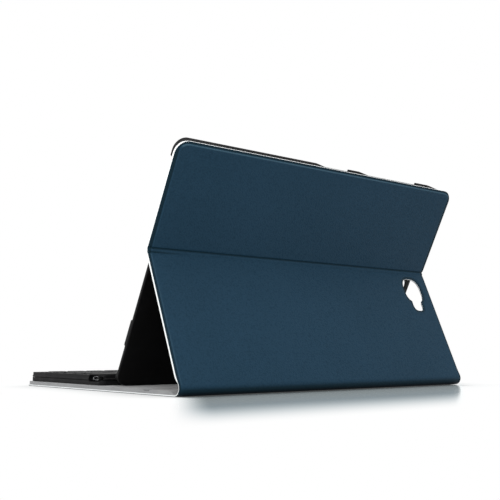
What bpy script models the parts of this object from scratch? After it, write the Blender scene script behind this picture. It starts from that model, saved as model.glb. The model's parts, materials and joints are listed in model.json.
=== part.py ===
"""Tablet keyboard case, standing open: a folding folio, a snap-in tablet shell and a keyboard.

Metres, +Z up. The user sits on the -Y side and sees the screen and the keys; the rear fold is at +Y.
The origin is on the table, under the middle of the case.
"""

from math import acos, cos, hypot, pi, radians, sin

import bmesh
import bpy
from mathutils import Matrix

# Folio: overall sizes and fold angles
CASE_WIDTH = 0.262
KICKSTAND_ANGLE = 67.0
UPPER_BACK_ANGLE = 63.0
KICKSTAND_SPAN = 0.091
UPPER_BACK_HEIGHT = 0.0697
SPINE_WIDTH = 0.028
REAR_FOLD_RADIUS = 0.005
MIDDLE_FOLD_BAND = 0.0044
FRONT_FOLD_BAND = 0.004
PANEL_CORNER = 0.009

# Folio: layers of a panel, from the outside in
SKIN = 0.0008
BOARD = 0.0012
LINING = 0.0005
FOLD_LEATHER = 0.0013
TURNED_EDGE = 0.0013
LINING_INSET = 0.0006
PAD_INSET = 0.0085
SEAT_GAP = 0.00025

# Camera window of the kickstand: a large and a small round lobe, placed below the middle fold
WINDOW_EDGE = 0.0195
LARGE_LOBE_RADIUS = 0.0102
LARGE_LOBE_DROP = 0.0155
SMALL_LOBE_RADIUS = 0.0058
SMALL_LOBE_DROP = 0.0272
SHELL_WINDOW_INSET = 0.0012

# Tablet shell
SHELL_SIDE_DROP = 0.0065
SHELL_TOP_DROP = 0.0002
SHELL_THICKNESS = 0.011
SHELL_BACK = 0.0016
SHELL_WALL = 0.0018
SHELL_LIP = 0.0009
SHELL_LIP_HEIGHT = 0.0014
SHELL_CORNER = 0.009
SHELL_EDGE = 0.0012
SHELL_RAMP = 0.0025
SHELL_REST_GAP = 0.0003
NOTCH_FLOOR = 0.0018
SIDE_CLIP_HEIGHT = 0.0034
SIDE_CLIP_RISE = 0.028
SIDE_CLIP_LENGTH = 0.018
SIDE_CORNER_LOW_LENGTH = 0.0093
SIDE_CORNER_HIGH_LENGTH = 0.0152
TOP_RIM_END = 0.0025
TOP_BREAK_LENGTH = 0.026
TOP_TAB_LENGTH = 0.0182
TOP_CORNER_LENGTH = 0.0272
PORT_NOTCH_WIDTH = 0.034

# Keyboard housing
KEYBOARD_DEPTH = 0.105
KEYBOARD_SIDE_MARGIN = 0.0032
KEYBOARD_FRONT_MARGIN = 0.0035
KEYBOARD_REAR_GAP = 0.0013
KEYBOARD_CORNER = 0.004
BASE_HEIGHT = 0.0028
BASE_FLOOR = 0.001
BASE_WALL = 0.0016
END_BLOCK = 0.005
BAY_WALL = 0.0022
DECK_PLATE = 0.00145
HUMP_DEPTH = 0.0185
HUMP_RISE = 0.0028
HUMP_ROOF = 0.0012
HUMP_EDGE = 0.0012
HUMP_SLOPE = 0.0015

# Keyboard inner parts and controls
STEEL_STRIP = 0.0004
MEMBRANE = 0.0005
BATTERY_LENGTH = 0.118
BATTERY_THICKNESS = 0.0035
BATTERY_END_GAP = 0.0124
CONTROL_BOARD_GAP = 0.024
CONTROL_BOARD = 0.0008
INNER_MARGIN = 0.001
PORT_WIDTH = 0.0075
PORT_HEIGHT = 0.0026
PORT_LENGTH = 0.0075
PORT_WALL = 0.0005
RECESS_LENGTH = 0.017
RECESS_HEIGHT = 0.0044
RECESS_DEPTH = 0.0025
SWITCH_LENGTH = 0.0026
SWITCH_HEIGHT = 0.0015
SWITCH_TRAVEL = 0.0025
BUTTON_RADIUS = 0.0022
BUTTON_PROUD = 0.0009
BUTTON_INSET = 0.022
LIGHT_RADIUS = 0.0011
LIGHT_SPACING = 0.01
MAGNET_RADIUS = 0.005
MAGNET_INSET = 0.041

# Keys
KEY_END_MARGIN = 0.009
KEY_FRONT_MARGIN = 0.004
TOP_ROW_PITCH = 0.009
KEY_SPACING = 0.0024
KEY_CLEARANCE = 0.00035
KEY_RISE = 0.0023
KEY_TRAVEL = 0.0013
KEY_CORNER = 0.0015
KEY_TAPER = 0.0006
FIXED_KEY_ROOT = 0.0006

# Facets of round outlines
CORNER_STEPS = 6
KEY_CORNER_STEPS = 2
LOBE_STEPS = 28
FOLD_STEPS = 10
ROUND_SIDES = 20

# Key rows from the user's edge to the rear, each key with its width in units
KEY_ROWS = [
    [("fn", 1), ("ctrl", 1), ("alt", 1), ("cmd_left", 1.25), ("space", 6.5), ("cmd_right", 1.25),
     ("left", 1), ("down", 1), ("right", 1)],
    [("shift_left", 2.25), *[(letter, 1) for letter in "zxcvbnm"], ("comma", 1), ("stop", 1),
     ("slash", 1), ("up", 1), ("shift_right", 1.75)],
    [("caps", 1.75), *[(letter, 1) for letter in "asdfghjkl"], ("semicolon", 1), ("quote", 1),
     ("enter", 2.25)],
    [("tab", 1.5), *[(letter, 1) for letter in "qwertyuiop"], ("open_bracket", 1),
     ("close_bracket", 1), ("backslash", 1.5)],
    [("grave", 1), *[(digit, 1) for digit in "1234567890"], ("minus", 1), ("equals", 1),
     ("backspace", 2)],
    [("esc", 1), *[("f%d" % number, 1) for number in range(1, 13)], ("lock", 1), ("delete", 1)],
]
MOVING_KEYS = set("abcdefghijklmnopqrstuvwxyz") | {
    "space", "enter", "backspace", "tab", "shift_left", "shift_right"}

# Values that follow from the sizes above
FOLD_HALF_TURN = radians(180 - KICKSTAND_ANGLE) / 2
FOLD_REACH = REAR_FOLD_RADIUS * sin(FOLD_HALF_TURN)
FOLD_DROP = REAR_FOLD_RADIUS * (1 - cos(FOLD_HALF_TURN))
KICKSTAND_TURN = radians(180 - KICKSTAND_ANGLE)
UPPER_BACK_TURN = radians(UPPER_BACK_ANGLE)
POCKET_HIGH = SKIN + BOARD + 2 * SEAT_GAP
LINING_LOW = POCKET_HIGH + SEAT_GAP
PANEL = LINING_LOW + LINING
SHELL_LOW = PANEL + SEAT_GAP
MIDDLE_AXIS_Z = (FOLD_DROP + KICKSTAND_SPAN * sin(KICKSTAND_TURN)
                 - FOLD_DROP * cos(KICKSTAND_TURN))
SHELL_EDGE_LIFT = SHELL_EDGE * (sin(UPPER_BACK_TURN) + cos(UPPER_BACK_TURN) - 1)
SHELL_BOTTOM = -(MIDDLE_AXIS_Z + SHELL_LOW * cos(UPPER_BACK_TURN) + SHELL_EDGE_LIFT
                 - PANEL - SHELL_REST_GAP) / sin(UPPER_BACK_TURN)
SHELL_TOP = UPPER_BACK_HEIGHT - SHELL_TOP_DROP
SHELL_HIGH = SHELL_LOW + SHELL_THICKNESS
SHELL_WIDTH = CASE_WIDTH - 2 * SHELL_SIDE_DROP
SIDE_CORNER_LOW = SHELL_BOTTOM + SIDE_CORNER_LOW_LENGTH
SIDE_CORNER_HIGH = SHELL_TOP - SIDE_CORNER_HIGH_LENGTH
SIDE_CLIP_LOW = SHELL_BOTTOM + SIDE_CLIP_RISE
SIDE_CLIP_HIGH = SIDE_CLIP_LOW + SIDE_CLIP_LENGTH
TOP_TAB_START = TOP_RIM_END - TOP_BREAK_LENGTH
TOP_TAB_END = TOP_TAB_START - TOP_TAB_LENGTH
TOP_CORNER_START = -SHELL_WIDTH / 2 + TOP_CORNER_LENGTH
WINDOW_X = -CASE_WIDTH / 2 + WINDOW_EDGE
MIDDLE_AXIS_BACK = (-FOLD_REACH - KICKSTAND_SPAN * cos(KICKSTAND_TURN)
                    - FOLD_DROP * sin(KICKSTAND_TURN))
SHELL_FRONT_BACK = (MIDDLE_AXIS_BACK - SHELL_BOTTOM * cos(UPPER_BACK_TURN)
                    + SHELL_HIGH * sin(UPPER_BACK_TURN))
CASE_DEPTH = (REAR_FOLD_RADIUS + SHELL_FRONT_BACK + KEYBOARD_REAR_GAP + KEYBOARD_DEPTH
              + KEYBOARD_FRONT_MARGIN)
REAR_ARC_Y = CASE_DEPTH / 2 - REAR_FOLD_RADIUS
REAR_AXIS_Y = REAR_ARC_Y + FOLD_REACH
KEYBOARD_WIDTH = CASE_WIDTH - 2 * KEYBOARD_SIDE_MARGIN
KEYBOARD_FRONT = -CASE_DEPTH / 2 + KEYBOARD_FRONT_MARGIN
KEYBOARD_Y = KEYBOARD_FRONT + KEYBOARD_DEPTH / 2
KEYBOARD_Z = PANEL + SEAT_GAP
DECK_LOW = BASE_HEIGHT + SEAT_GAP
DECK_HIGH = DECK_LOW + DECK_PLATE
HUMP_HIGH = DECK_HIGH + HUMP_RISE
HUMP_FRONT = KEYBOARD_DEPTH / 2 - HUMP_DEPTH
HUMP_MIDDLE = HUMP_FRONT + HUMP_DEPTH / 2
BAY_LOW_Y = HUMP_FRONT + BASE_WALL
BAY_HIGH_Y = KEYBOARD_DEPTH / 2 - BASE_WALL
BAY_RIGHT = KEYBOARD_WIDTH / 2 - END_BLOCK
BAY_LEFT = -KEYBOARD_WIDTH / 2 + BASE_WALL
INNER_LOW = BASE_FLOOR + SEAT_GAP
ABOVE_STEEL = INNER_LOW + STEEL_STRIP + SEAT_GAP
PORT_LOW = ABOVE_STEEL + CONTROL_BOARD + SEAT_GAP
RECESS_Z = PORT_LOW + PORT_HEIGHT / 2
RECESS_FLOOR = KEYBOARD_WIDTH / 2 - RECESS_DEPTH
PORT_Y = BAY_LOW_Y + INNER_MARGIN / 2 + PORT_WIDTH / 2
SWITCH_Y = HUMP_MIDDLE + RECESS_LENGTH / 4
MEMBRANE_HIGH = INNER_LOW + MEMBRANE
KEY_LOW = MEMBRANE_HIGH + SEAT_GAP + KEY_TRAVEL
KEY_HIGH = DECK_HIGH + KEY_RISE
KEY_ROWS_FRONT = -KEYBOARD_DEPTH / 2 + KEY_FRONT_MARGIN
KEY_ROW_PITCH = ((HUMP_FRONT - INNER_MARGIN - TOP_ROW_PITCH - KEY_ROWS_FRONT)
                 / len(KEY_ROWS[:-1]))
KEY_UNIT = (KEYBOARD_WIDTH - 2 * KEY_END_MARGIN) / sum(units for _, units in KEY_ROWS[-1])
BATTERY_LEFT = BAY_LEFT + BATTERY_END_GAP
CONTROL_BOARD_LEFT = BATTERY_LEFT + BATTERY_LENGTH + CONTROL_BOARD_GAP
BUTTON_X = KEYBOARD_WIDTH / 2 - BUTTON_INSET
LIGHT_X = BUTTON_X - LIGHT_SPACING
MAGNET_X = CASE_WIDTH / 2 - MAGNET_INSET
CUT_PAST = 0.002
WALL_CUT = SHELL_WALL + SHELL_LIP + CUT_PAST

# Finishes: colour, roughness, metallic
FINISHES = {
    "navy_leather": ((0.013, 0.030, 0.052), 0.55, 0.0),
    "grey_lining": ((0.26, 0.27, 0.27), 0.9, 0.0),
    "grey_board": ((0.30, 0.29, 0.27), 0.85, 0.0),
    "black_shell": ((0.006, 0.006, 0.007), 0.35, 0.0),
    "black_housing": ((0.010, 0.010, 0.011), 0.45, 0.0),
    "black_key": ((0.008, 0.008, 0.009), 0.4, 0.0),
    "bright_metal": ((0.6, 0.6, 0.62), 0.3, 1.0),
    "silver_wrap": ((0.45, 0.46, 0.48), 0.4, 0.6),
    "green_board": ((0.01, 0.09, 0.04), 0.5, 0.0),
    "grey_rubber": ((0.12, 0.12, 0.12), 0.8, 0.0),
    "clear_lens": ((0.5, 0.6, 0.7), 0.2, 0.0),
}


# Scene set-up
def clear_scene():
    for old in list(bpy.data.objects):
        bpy.data.objects.remove(old, do_unlink=True)


def new_collection(name):
    collection = bpy.data.collections.new(name)
    bpy.context.scene.collection.children.link(collection)
    return collection


def finish_material(name):
    """The named finish as a material, made once."""
    material = bpy.data.materials.get(name)
    if material is None:
        colour, roughness, metallic = FINISHES[name]
        material = bpy.data.materials.new(name)
        material.use_nodes = True
        shader = material.node_tree.nodes["Principled BSDF"]
        shader.inputs["Base Color"].default_value = (*colour, 1)
        shader.inputs["Roughness"].default_value = roughness
        shader.inputs["Metallic"].default_value = metallic
    return material


# Outlines
def arc(centre, radius, start, end, steps):
    return [
        (centre[0] + radius * cos(start + (end - start) * step / steps),
         centre[1] + radius * sin(start + (end - start) * step / steps))
        for step in range(steps + 1)
    ]


def rectangle(x0, x1, y0, y1):
    return [(x0, y0), (x1, y0), (x1, y1), (x0, y1)]


def rounded_rectangle(x0, x1, y0, y1, low_radius, high_radius, steps=CORNER_STEPS):
    """A rectangle whose two low-Y and two high-Y corners have their own radii; 0 leaves a corner square."""
    outline = []
    corners = [
        (x0, y0, low_radius, 1, 1, pi), (x1, y0, low_radius, -1, 1, 1.5 * pi),
        (x1, y1, high_radius, -1, -1, 0), (x0, y1, high_radius, 1, -1, 0.5 * pi),
    ]
    for x, y, radius, inward_x, inward_y, start in corners:
        if radius > 0:
            centre = (x + inward_x * radius, y + inward_y * radius)
            outline += arc(centre, radius, start, start + pi / 2, steps)
        else:
            outline.append((x, y))
    return outline


def camera_window(fold_y, grow):
    """Two overlapping round lobes below a fold line at fold_y, as one outline."""
    large = LARGE_LOBE_RADIUS + grow
    small = SMALL_LOBE_RADIUS + grow
    between = SMALL_LOBE_DROP - LARGE_LOBE_DROP
    large_half = acos((large ** 2 + between ** 2 - small ** 2) / (2 * large * between))
    small_half = acos((small ** 2 + between ** 2 - large ** 2) / (2 * small * between))
    down = -pi / 2
    upper = arc((WINDOW_X, fold_y - LARGE_LOBE_DROP), large,
                down + large_half, down + 2 * pi - large_half, LOBE_STEPS)
    lower = arc((WINDOW_X, fold_y - SMALL_LOBE_DROP), small,
                down - pi + small_half, down + pi - small_half, LOBE_STEPS // 2)
    return upper[:-1] + lower[:-1]


def bent_strip(points, thickness):
    """The outline of a strip of even thickness whose outer side runs through the points."""
    inner = []
    for index, (x, y) in enumerate(points):
        before = points[max(index - 1, 0)]
        after = points[min(index + 1, len(points) - 1)]
        length = hypot(after[0] - before[0], after[1] - before[1])
        normal = (-(after[1] - before[1]) / length, (after[0] - before[0]) / length)
        inner.append((x + thickness * normal[0], y + thickness * normal[1]))
    return points + inner[::-1]


# Solids
def outline_mesh(name, loops, low, high):
    """A closed mesh of flat outlines between two heights; an outline inside another is a hole."""
    curve = bpy.data.curves.new(name, "CURVE")
    curve.dimensions = "2D"
    curve.fill_mode = "BOTH"
    curve.extrude = (high - low) / 2
    for loop in loops:
        spline = curve.splines.new("POLY")
        spline.points.add(len(loop) - 1)
        for point, (x, y) in zip(spline.points, loop):
            point.co = (x, y, 0, 1)
        spline.use_cyclic_u = True
    guide = bpy.data.objects.new(name + "_outline", curve)
    bpy.context.scene.collection.objects.link(guide)
    graph = bpy.context.evaluated_depsgraph_get()
    mesh = bpy.data.meshes.new_from_object(guide.evaluated_get(graph))
    bpy.data.objects.remove(guide)
    bpy.data.curves.remove(curve)
    mesh.name = name
    work = bmesh.new()
    work.from_mesh(mesh)
    bmesh.ops.remove_doubles(work, verts=work.verts, dist=1e-6)
    bmesh.ops.translate(work, verts=work.verts, vec=(0, 0, (low + high) / 2))
    bmesh.ops.recalc_face_normals(work, faces=work.faces)
    work.to_mesh(mesh)
    work.free()
    return mesh


def turned(mesh, matrix):
    mesh.transform(matrix)
    return mesh


def joined(name, meshes):
    """Several closed meshes in one."""
    work = bmesh.new()
    for mesh in meshes:
        work.from_mesh(mesh)
        bpy.data.meshes.remove(mesh)
    result = bpy.data.meshes.new(name)
    work.to_mesh(result)
    work.free()
    return result


def part(name, mesh, finish, parent):
    obj = bpy.data.objects.new(name, mesh)
    mesh.materials.clear()
    mesh.materials.append(finish_material(finish))
    mesh.shade_smooth()
    mesh.set_sharp_from_angle(angle=radians(30))
    PARTS.objects.link(obj)
    obj.parent = parent
    return obj


def cutter(name, mesh, parent):
    obj = bpy.data.objects.new(name, mesh)
    CUTTERS.objects.link(obj)
    obj.parent = parent
    obj.hide_render = True
    obj.display_type = "WIRE"
    return obj


def combine(obj, other, operation="DIFFERENCE"):
    modifier = obj.modifiers.new(other.name, "BOOLEAN")
    modifier.object = other
    modifier.operation = operation


def round_edges(obj, width, segments):
    modifier = obj.modifiers.new("rounded_edges", "BEVEL")
    modifier.width = width
    modifier.segments = segments
    modifier.limit_method = "ANGLE"
    modifier.angle_limit = radians(40)


def axis_empty(name, parent, location, turn):
    empty = bpy.data.objects.new(name, None)
    PARTS.objects.link(empty)
    empty.parent = parent
    empty.location = location
    empty.rotation_euler = (turn, 0, 0)
    return empty


# Folio panels
def panel_skin(name, parent, y0, y1, radii, base, window=None):
    """The outer leather of a panel: a shallow tray, its turned edge standing round the board."""
    half = CASE_WIDTH / 2
    loops = [rounded_rectangle(-half, half, y0, y1, *radii)]
    pocket = [panel_inset(y0, y1, radii, TURNED_EDGE)]
    if window is not None:
        loops.append(camera_window(window, 0))
        pocket.append(camera_window(window, TURNED_EDGE))
    skin = part(name, outline_mesh(name, loops, base, base + POCKET_HIGH), "navy_leather", parent)
    pocket_low = base + SKIN
    pocket_mesh = outline_mesh(name + "_pocket", pocket, pocket_low, base + POCKET_HIGH + CUT_PAST)
    combine(skin, cutter(name + "_pocket", pocket_mesh, parent))
    return skin


def panel_inset(y0, y1, radii, inset):
    half = CASE_WIDTH / 2 - inset
    inner_radii = [max(radius - inset, 0) for radius in radii]
    return rounded_rectangle(-half, half, y0 + inset, y1 - inset, *inner_radii)


def panel_layer(name, parent, y0, y1, radii, inset, low, high, finish, holes=()):
    loops = [panel_inset(y0, y1, radii, inset), *holes]
    return part(name, outline_mesh(name, loops, low, high), finish, parent)


def folio_panel(name, parent, y0, y1, radii, base=0.0, window=None, board_holes=()):
    """Leather, board and lining of one stiff panel, outer face at the height base."""
    panel_skin(name + "_skin", parent, y0, y1, radii, base, window)
    board_inset = TURNED_EDGE + SEAT_GAP
    holes = list(board_holes)
    lining_holes = []
    if window is not None:
        holes.append(camera_window(window, board_inset))
        lining_holes.append(camera_window(window, LINING_INSET))
    board_low = base + SKIN + SEAT_GAP
    panel_layer(name + "_board", parent, y0, y1, radii, board_inset,
                board_low, board_low + BOARD, "grey_board", holes)
    panel_layer(name + "_lining", parent, y0, y1, radii, LINING_INSET,
                base + LINING_LOW, base + PANEL, "grey_lining", lining_holes)


def magnet_outline(x, grow):
    return arc((x, KEYBOARD_Y + HUMP_MIDDLE), MAGNET_RADIUS + grow, 0, 2 * pi, ROUND_SIDES)[:-1]


def build_cover_and_spine():
    """The half of the folio that lies on the table: front cover, front fold and spine."""
    spine_rear = REAR_ARC_Y - SEAT_GAP
    spine_front = REAR_ARC_Y - SPINE_WIDTH
    cover_rear = spine_front - FRONT_FOLD_BAND
    pockets = [magnet_outline(side * MAGNET_X, SEAT_GAP) for side in (-1, 1)]
    folio_panel("front_cover", None, -CASE_DEPTH / 2, cover_rear, (PANEL_CORNER, 0), 0.0, None, pockets)
    folio_panel("spine", None, spine_front, spine_rear, (0, 0))
    for side, name in ((-1, "cover_magnet_left"), (1, "cover_magnet_right")):
        low = SKIN + SEAT_GAP
        part(name, outline_mesh(name, [magnet_outline(side * MAGNET_X, 0)], low, low + BOARD),
             "bright_metal", None)
    strip = rectangle(-CASE_WIDTH / 2, CASE_WIDTH / 2, cover_rear + SEAT_GAP, spine_front - SEAT_GAP)
    part("front_fold_strip", outline_mesh("front_fold_strip", [strip], 0, FOLD_LEATHER),
         "navy_leather", None)


def along_width(name, outline):
    """A strip across the whole case whose outline is drawn in Y and Z."""
    flat = outline_mesh(name, [outline], -CASE_WIDTH / 2, CASE_WIDTH / 2)
    return turned(flat, Matrix(((0, 0, 1, 0), (1, 0, 0, 0), (0, 1, 0, 0), (0, 0, 0, 1))))


def build_rear_fold():
    """The rounded leather fold between spine and kickstand."""
    outer = arc((REAR_ARC_Y, REAR_FOLD_RADIUS), REAR_FOLD_RADIUS,
                -pi / 2, -pi / 2 + KICKSTAND_TURN, FOLD_STEPS)
    part("rear_fold_strip", along_width("rear_fold_strip", bent_strip(outer, FOLD_LEATHER)),
         "navy_leather", None)


def build_kickstand():
    """The lower back panel, which leans forward from the rear fold and holds up the tablet."""
    low = FOLD_REACH + SEAT_GAP
    high = KICKSTAND_SPAN - MIDDLE_FOLD_BAND / 2
    folio_panel("kickstand", REAR_AXIS, low, high, (0, 0), -FOLD_DROP, KICKSTAND_SPAN)


def build_middle_fold():
    """The creased leather between kickstand and upper back, hollow on its outer side."""
    half = MIDDLE_FOLD_BAND / 2 - SEAT_GAP
    bend = KICKSTAND_TURN - UPPER_BACK_TURN
    fold_y = KICKSTAND_SPAN
    points = [(fold_y - half, -FOLD_DROP), (fold_y, -FOLD_DROP),
              (fold_y + half * cos(bend), -FOLD_DROP - half * sin(bend))]
    part("middle_fold_strip", along_width("middle_fold_strip", bent_strip(points, FOLD_LEATHER)),
         "navy_leather", REAR_AXIS)


def build_upper_back():
    """The upper back panel and the pad that bonds it to the tablet shell."""
    low = MIDDLE_FOLD_BAND / 2
    high = UPPER_BACK_HEIGHT
    radii = (0, PANEL_CORNER)
    panel_skin("upper_back_skin", MIDDLE_AXIS, low, high, radii, 0)
    panel_layer("upper_back_board", MIDDLE_AXIS, low, high, radii, TURNED_EDGE + SEAT_GAP,
                SKIN + SEAT_GAP, SKIN + SEAT_GAP + BOARD, "grey_board")
    panel_layer("upper_back_pad", MIDDLE_AXIS, low, high, radii, PAD_INSET, LINING_LOW, PANEL, "grey_rubber")


# Tablet shell
def notch(name, low, high, rise, across):
    """A cutter that lowers a shell wall to a rise above its back, with ramped ends; it spans the wall."""
    floor = SHELL_LOW + rise
    top = SHELL_HIGH + CUT_PAST
    spread = SHELL_RAMP * (top - floor) / (SHELL_HIGH - floor)
    outline = [(low, floor), (high, floor), (high + spread, top), (low - spread, top)]
    mesh = outline_mesh(name, [outline], across[0], across[1])
    return cutter(name, mesh, MIDDLE_AXIS)


def top_notch(name, low, high):
    """A break in the long wall, drawn along X."""
    obj = notch(name, low, high, NOTCH_FLOOR, (-SHELL_TOP - CUT_PAST, -SHELL_TOP + WALL_CUT))
    obj.data.transform(Matrix.Rotation(pi / 2, 4, "X"))
    return obj


def bottom_notch(name, low, high):
    across = (-SHELL_BOTTOM - WALL_CUT, -SHELL_BOTTOM + CUT_PAST)
    obj = notch(name, low, high, NOTCH_FLOOR, across)
    obj.data.transform(Matrix.Rotation(pi / 2, 4, "X"))
    return obj


def side_notch(name, low, high, rise, side):
    """A break in a short wall, drawn along the panel; side is 1 for +X."""
    edge = SHELL_WIDTH / 2
    obj = notch(name, low, high, rise, (edge - WALL_CUT, edge + CUT_PAST))
    upright = Matrix(((0, 0, 1, 0), (1, 0, 0, 0), (0, 1, 0, 0), (0, 0, 0, 1)))
    obj.data.transform(upright)
    if side < 0:
        obj.data.transform(Matrix.Rotation(pi, 4, "Z"))
        obj.data.transform(Matrix.Translation((0, low + high, 0)))
    return obj


def build_tablet_shell():
    """The moulded tray that the tablet snaps into: back plate, walls with breaks, and a holding lip."""
    half = SHELL_WIDTH / 2
    outer = rounded_rectangle(-half, half, SHELL_BOTTOM, SHELL_TOP, SHELL_CORNER, SHELL_CORNER)
    shell = part("tablet_shell", outline_mesh("tablet_shell", [outer], SHELL_LOW, SHELL_HIGH),
                 "black_shell", MIDDLE_AXIS)
    round_edges(shell, SHELL_EDGE, 2)
    pocket_floor = SHELL_LOW + SHELL_BACK
    lip_low = SHELL_HIGH - SHELL_LIP_HEIGHT
    for name, inset, low, high in (
            ("tablet_pocket", SHELL_WALL, pocket_floor, lip_low),
            ("tablet_mouth", SHELL_WALL + SHELL_LIP, pocket_floor + CUT_PAST, SHELL_HIGH + CUT_PAST)):
        radius = SHELL_CORNER - inset
        outline = rounded_rectangle(-half + inset, half - inset, SHELL_BOTTOM + inset, SHELL_TOP - inset,
                                    radius, radius)
        combine(shell, cutter(name, outline_mesh(name, [outline], low, high), MIDDLE_AXIS))
    window = camera_window(0, -SHELL_WINDOW_INSET)
    window_mesh = outline_mesh("shell_window", [window], SHELL_LOW - CUT_PAST, pocket_floor + CUT_PAST)
    combine(shell, cutter("shell_window", window_mesh, MIDDLE_AXIS))
    combine(shell, top_notch("top_break_middle", TOP_TAB_START, TOP_RIM_END))
    combine(shell, top_notch("top_break_buttons", TOP_CORNER_START, TOP_TAB_END))
    combine(shell, bottom_notch("bottom_break_port", -PORT_NOTCH_WIDTH / 2, PORT_NOTCH_WIDTH / 2))
    for side, label in ((1, "right"), (-1, "left")):
        for place, low, high, rise in (("whole", SIDE_CORNER_LOW, SIDE_CORNER_HIGH, SIDE_CLIP_HEIGHT),
                                       ("upper", SIDE_CLIP_HIGH, SIDE_CORNER_HIGH, NOTCH_FLOOR),
                                       ("lower", SIDE_CORNER_LOW, SIDE_CLIP_LOW, NOTCH_FLOOR)):
            combine(shell, side_notch("side_%s_%s" % (label, place), low, high, rise, side))


# Keyboard
def keyboard_outline(inset=0.0):
    half_x = KEYBOARD_WIDTH / 2 - inset
    half_y = KEYBOARD_DEPTH / 2 - inset
    radius = KEYBOARD_CORNER - inset
    return rounded_rectangle(-half_x, half_x, -half_y, half_y, radius, radius)


def side_outline(length, height):
    """A slot with round ends, drawn in Y and Z about its own middle."""
    radius = height / 2
    reach = length / 2 - radius
    right = arc((reach, 0), radius, -pi / 2, pi / 2, CORNER_STEPS)
    left = arc((-reach, 0), radius, pi / 2, 1.5 * pi, CORNER_STEPS)
    return right + left


def from_side(name, outline, y, z, x0, x1):
    """A solid whose outline is drawn in Y and Z about (y, z) and that runs from x0 to x1."""
    mesh = outline_mesh(name, [outline], x0, x1)
    upright = Matrix(((0, 0, 1, 0), (1, 0, 0, y), (0, 1, 0, z), (0, 0, 0, 1)))
    return turned(mesh, upright)


def side_cutters():
    """The recess in the keyboard's right end and the two openings in its floor."""
    past = KEYBOARD_WIDTH / 2 + CUT_PAST
    inside = BAY_RIGHT - CUT_PAST
    recess = from_side("side_recess", side_outline(RECESS_LENGTH, RECESS_HEIGHT),
                       HUMP_MIDDLE, RECESS_Z, RECESS_FLOOR, past)
    grow = 2 * KEY_CLEARANCE
    port = from_side("port_opening", side_outline(PORT_WIDTH + grow, PORT_HEIGHT + grow),
                     PORT_Y, RECESS_Z, inside, RECESS_FLOOR + CUT_PAST / 2)
    switch = from_side("switch_slot",
                       rectangle(-(SWITCH_LENGTH + grow) / 2, (SWITCH_LENGTH + grow) / 2 + SWITCH_TRAVEL,
                                 -(SWITCH_HEIGHT + grow) / 2, (SWITCH_HEIGHT + grow) / 2),
                       SWITCH_Y - SWITCH_TRAVEL / 2, RECESS_Z, inside, RECESS_FLOOR + CUT_PAST / 2)
    return [cutter(mesh.name, mesh, KEYBOARD) for mesh in (recess, port, switch)]


def build_keyboard_base(sides):
    """The lower housing: a tray with a key well and a battery bay behind it."""
    base = part("keyboard_base", outline_mesh("keyboard_base", [keyboard_outline()], 0, BASE_HEIGHT),
                "black_housing", KEYBOARD)
    well = rectangle(BAY_LEFT, BAY_RIGHT, -KEYBOARD_DEPTH / 2 + BASE_WALL, BAY_LOW_Y - BAY_WALL)
    bay = rectangle(BAY_LEFT, BAY_RIGHT, BAY_LOW_Y, BAY_HIGH_Y)
    for name, outline in (("key_well", well), ("battery_bay", bay)):
        mesh = outline_mesh(name, [outline], BASE_FLOOR, BASE_HEIGHT + CUT_PAST)
        combine(base, cutter(name, mesh, KEYBOARD))
    for side in sides:
        combine(base, side)


def key_outline(x, y, width, depth, grow=0.0):
    return rounded_rectangle(x - width / 2 - grow, x + width / 2 + grow, y - depth / 2 - grow,
                             y + depth / 2 + grow, KEY_CORNER, KEY_CORNER, KEY_CORNER_STEPS)


def key_mesh(name, x, y, width, depth, low):
    """A key cap whose sides draw in towards the top."""
    mesh = outline_mesh(name, [key_outline(x, y, width, depth)], low, KEY_HIGH)
    middle = (low + KEY_HIGH) / 2
    for vertex in mesh.vertices:
        if vertex.co.z > middle:
            vertex.co.x -= KEY_TAPER * (1 if vertex.co.x > x else -1)
            vertex.co.y -= KEY_TAPER * (1 if vertex.co.y > y else -1)
    return mesh


def key_places():
    """Each key's name, middle and size, row by row from the user's edge."""
    row_low = KEY_ROWS_FRONT
    for row in KEY_ROWS:
        pitch = TOP_ROW_PITCH if row is KEY_ROWS[-1] else KEY_ROW_PITCH
        x = -KEY_UNIT * sum(units for _, units in row) / 2
        for name, units in row:
            width = units * KEY_UNIT
            yield name, x + width / 2, row_low + pitch / 2, width - KEY_SPACING, pitch - KEY_SPACING
            x += width
        row_low += pitch


def build_keys():
    """The keys that move, and the openings and fixed caps that the deck carries."""
    openings = []
    fixed = []
    for name, x, y, width, depth in key_places():
        node = "key_" + name
        if name in MOVING_KEYS:
            mesh = key_mesh(node, 0, 0, width, depth, KEY_LOW)
            part(node, mesh, "black_key", KEYBOARD).location = (x, y, 0)
            outline = rectangle(x - width / 2 - KEY_CLEARANCE, x + width / 2 + KEY_CLEARANCE,
                                y - depth / 2 - KEY_CLEARANCE, y + depth / 2 + KEY_CLEARANCE)
            openings.append(outline_mesh(node, [outline], DECK_LOW - CUT_PAST, DECK_HIGH + CUT_PAST))
        else:
            fixed.append(key_mesh(node, x, y, width, depth, DECK_HIGH - FIXED_KEY_ROOT))
    return (cutter("key_openings", joined("key_openings", openings), KEYBOARD),
            cutter("fixed_caps", joined("fixed_caps", fixed), KEYBOARD))


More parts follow.
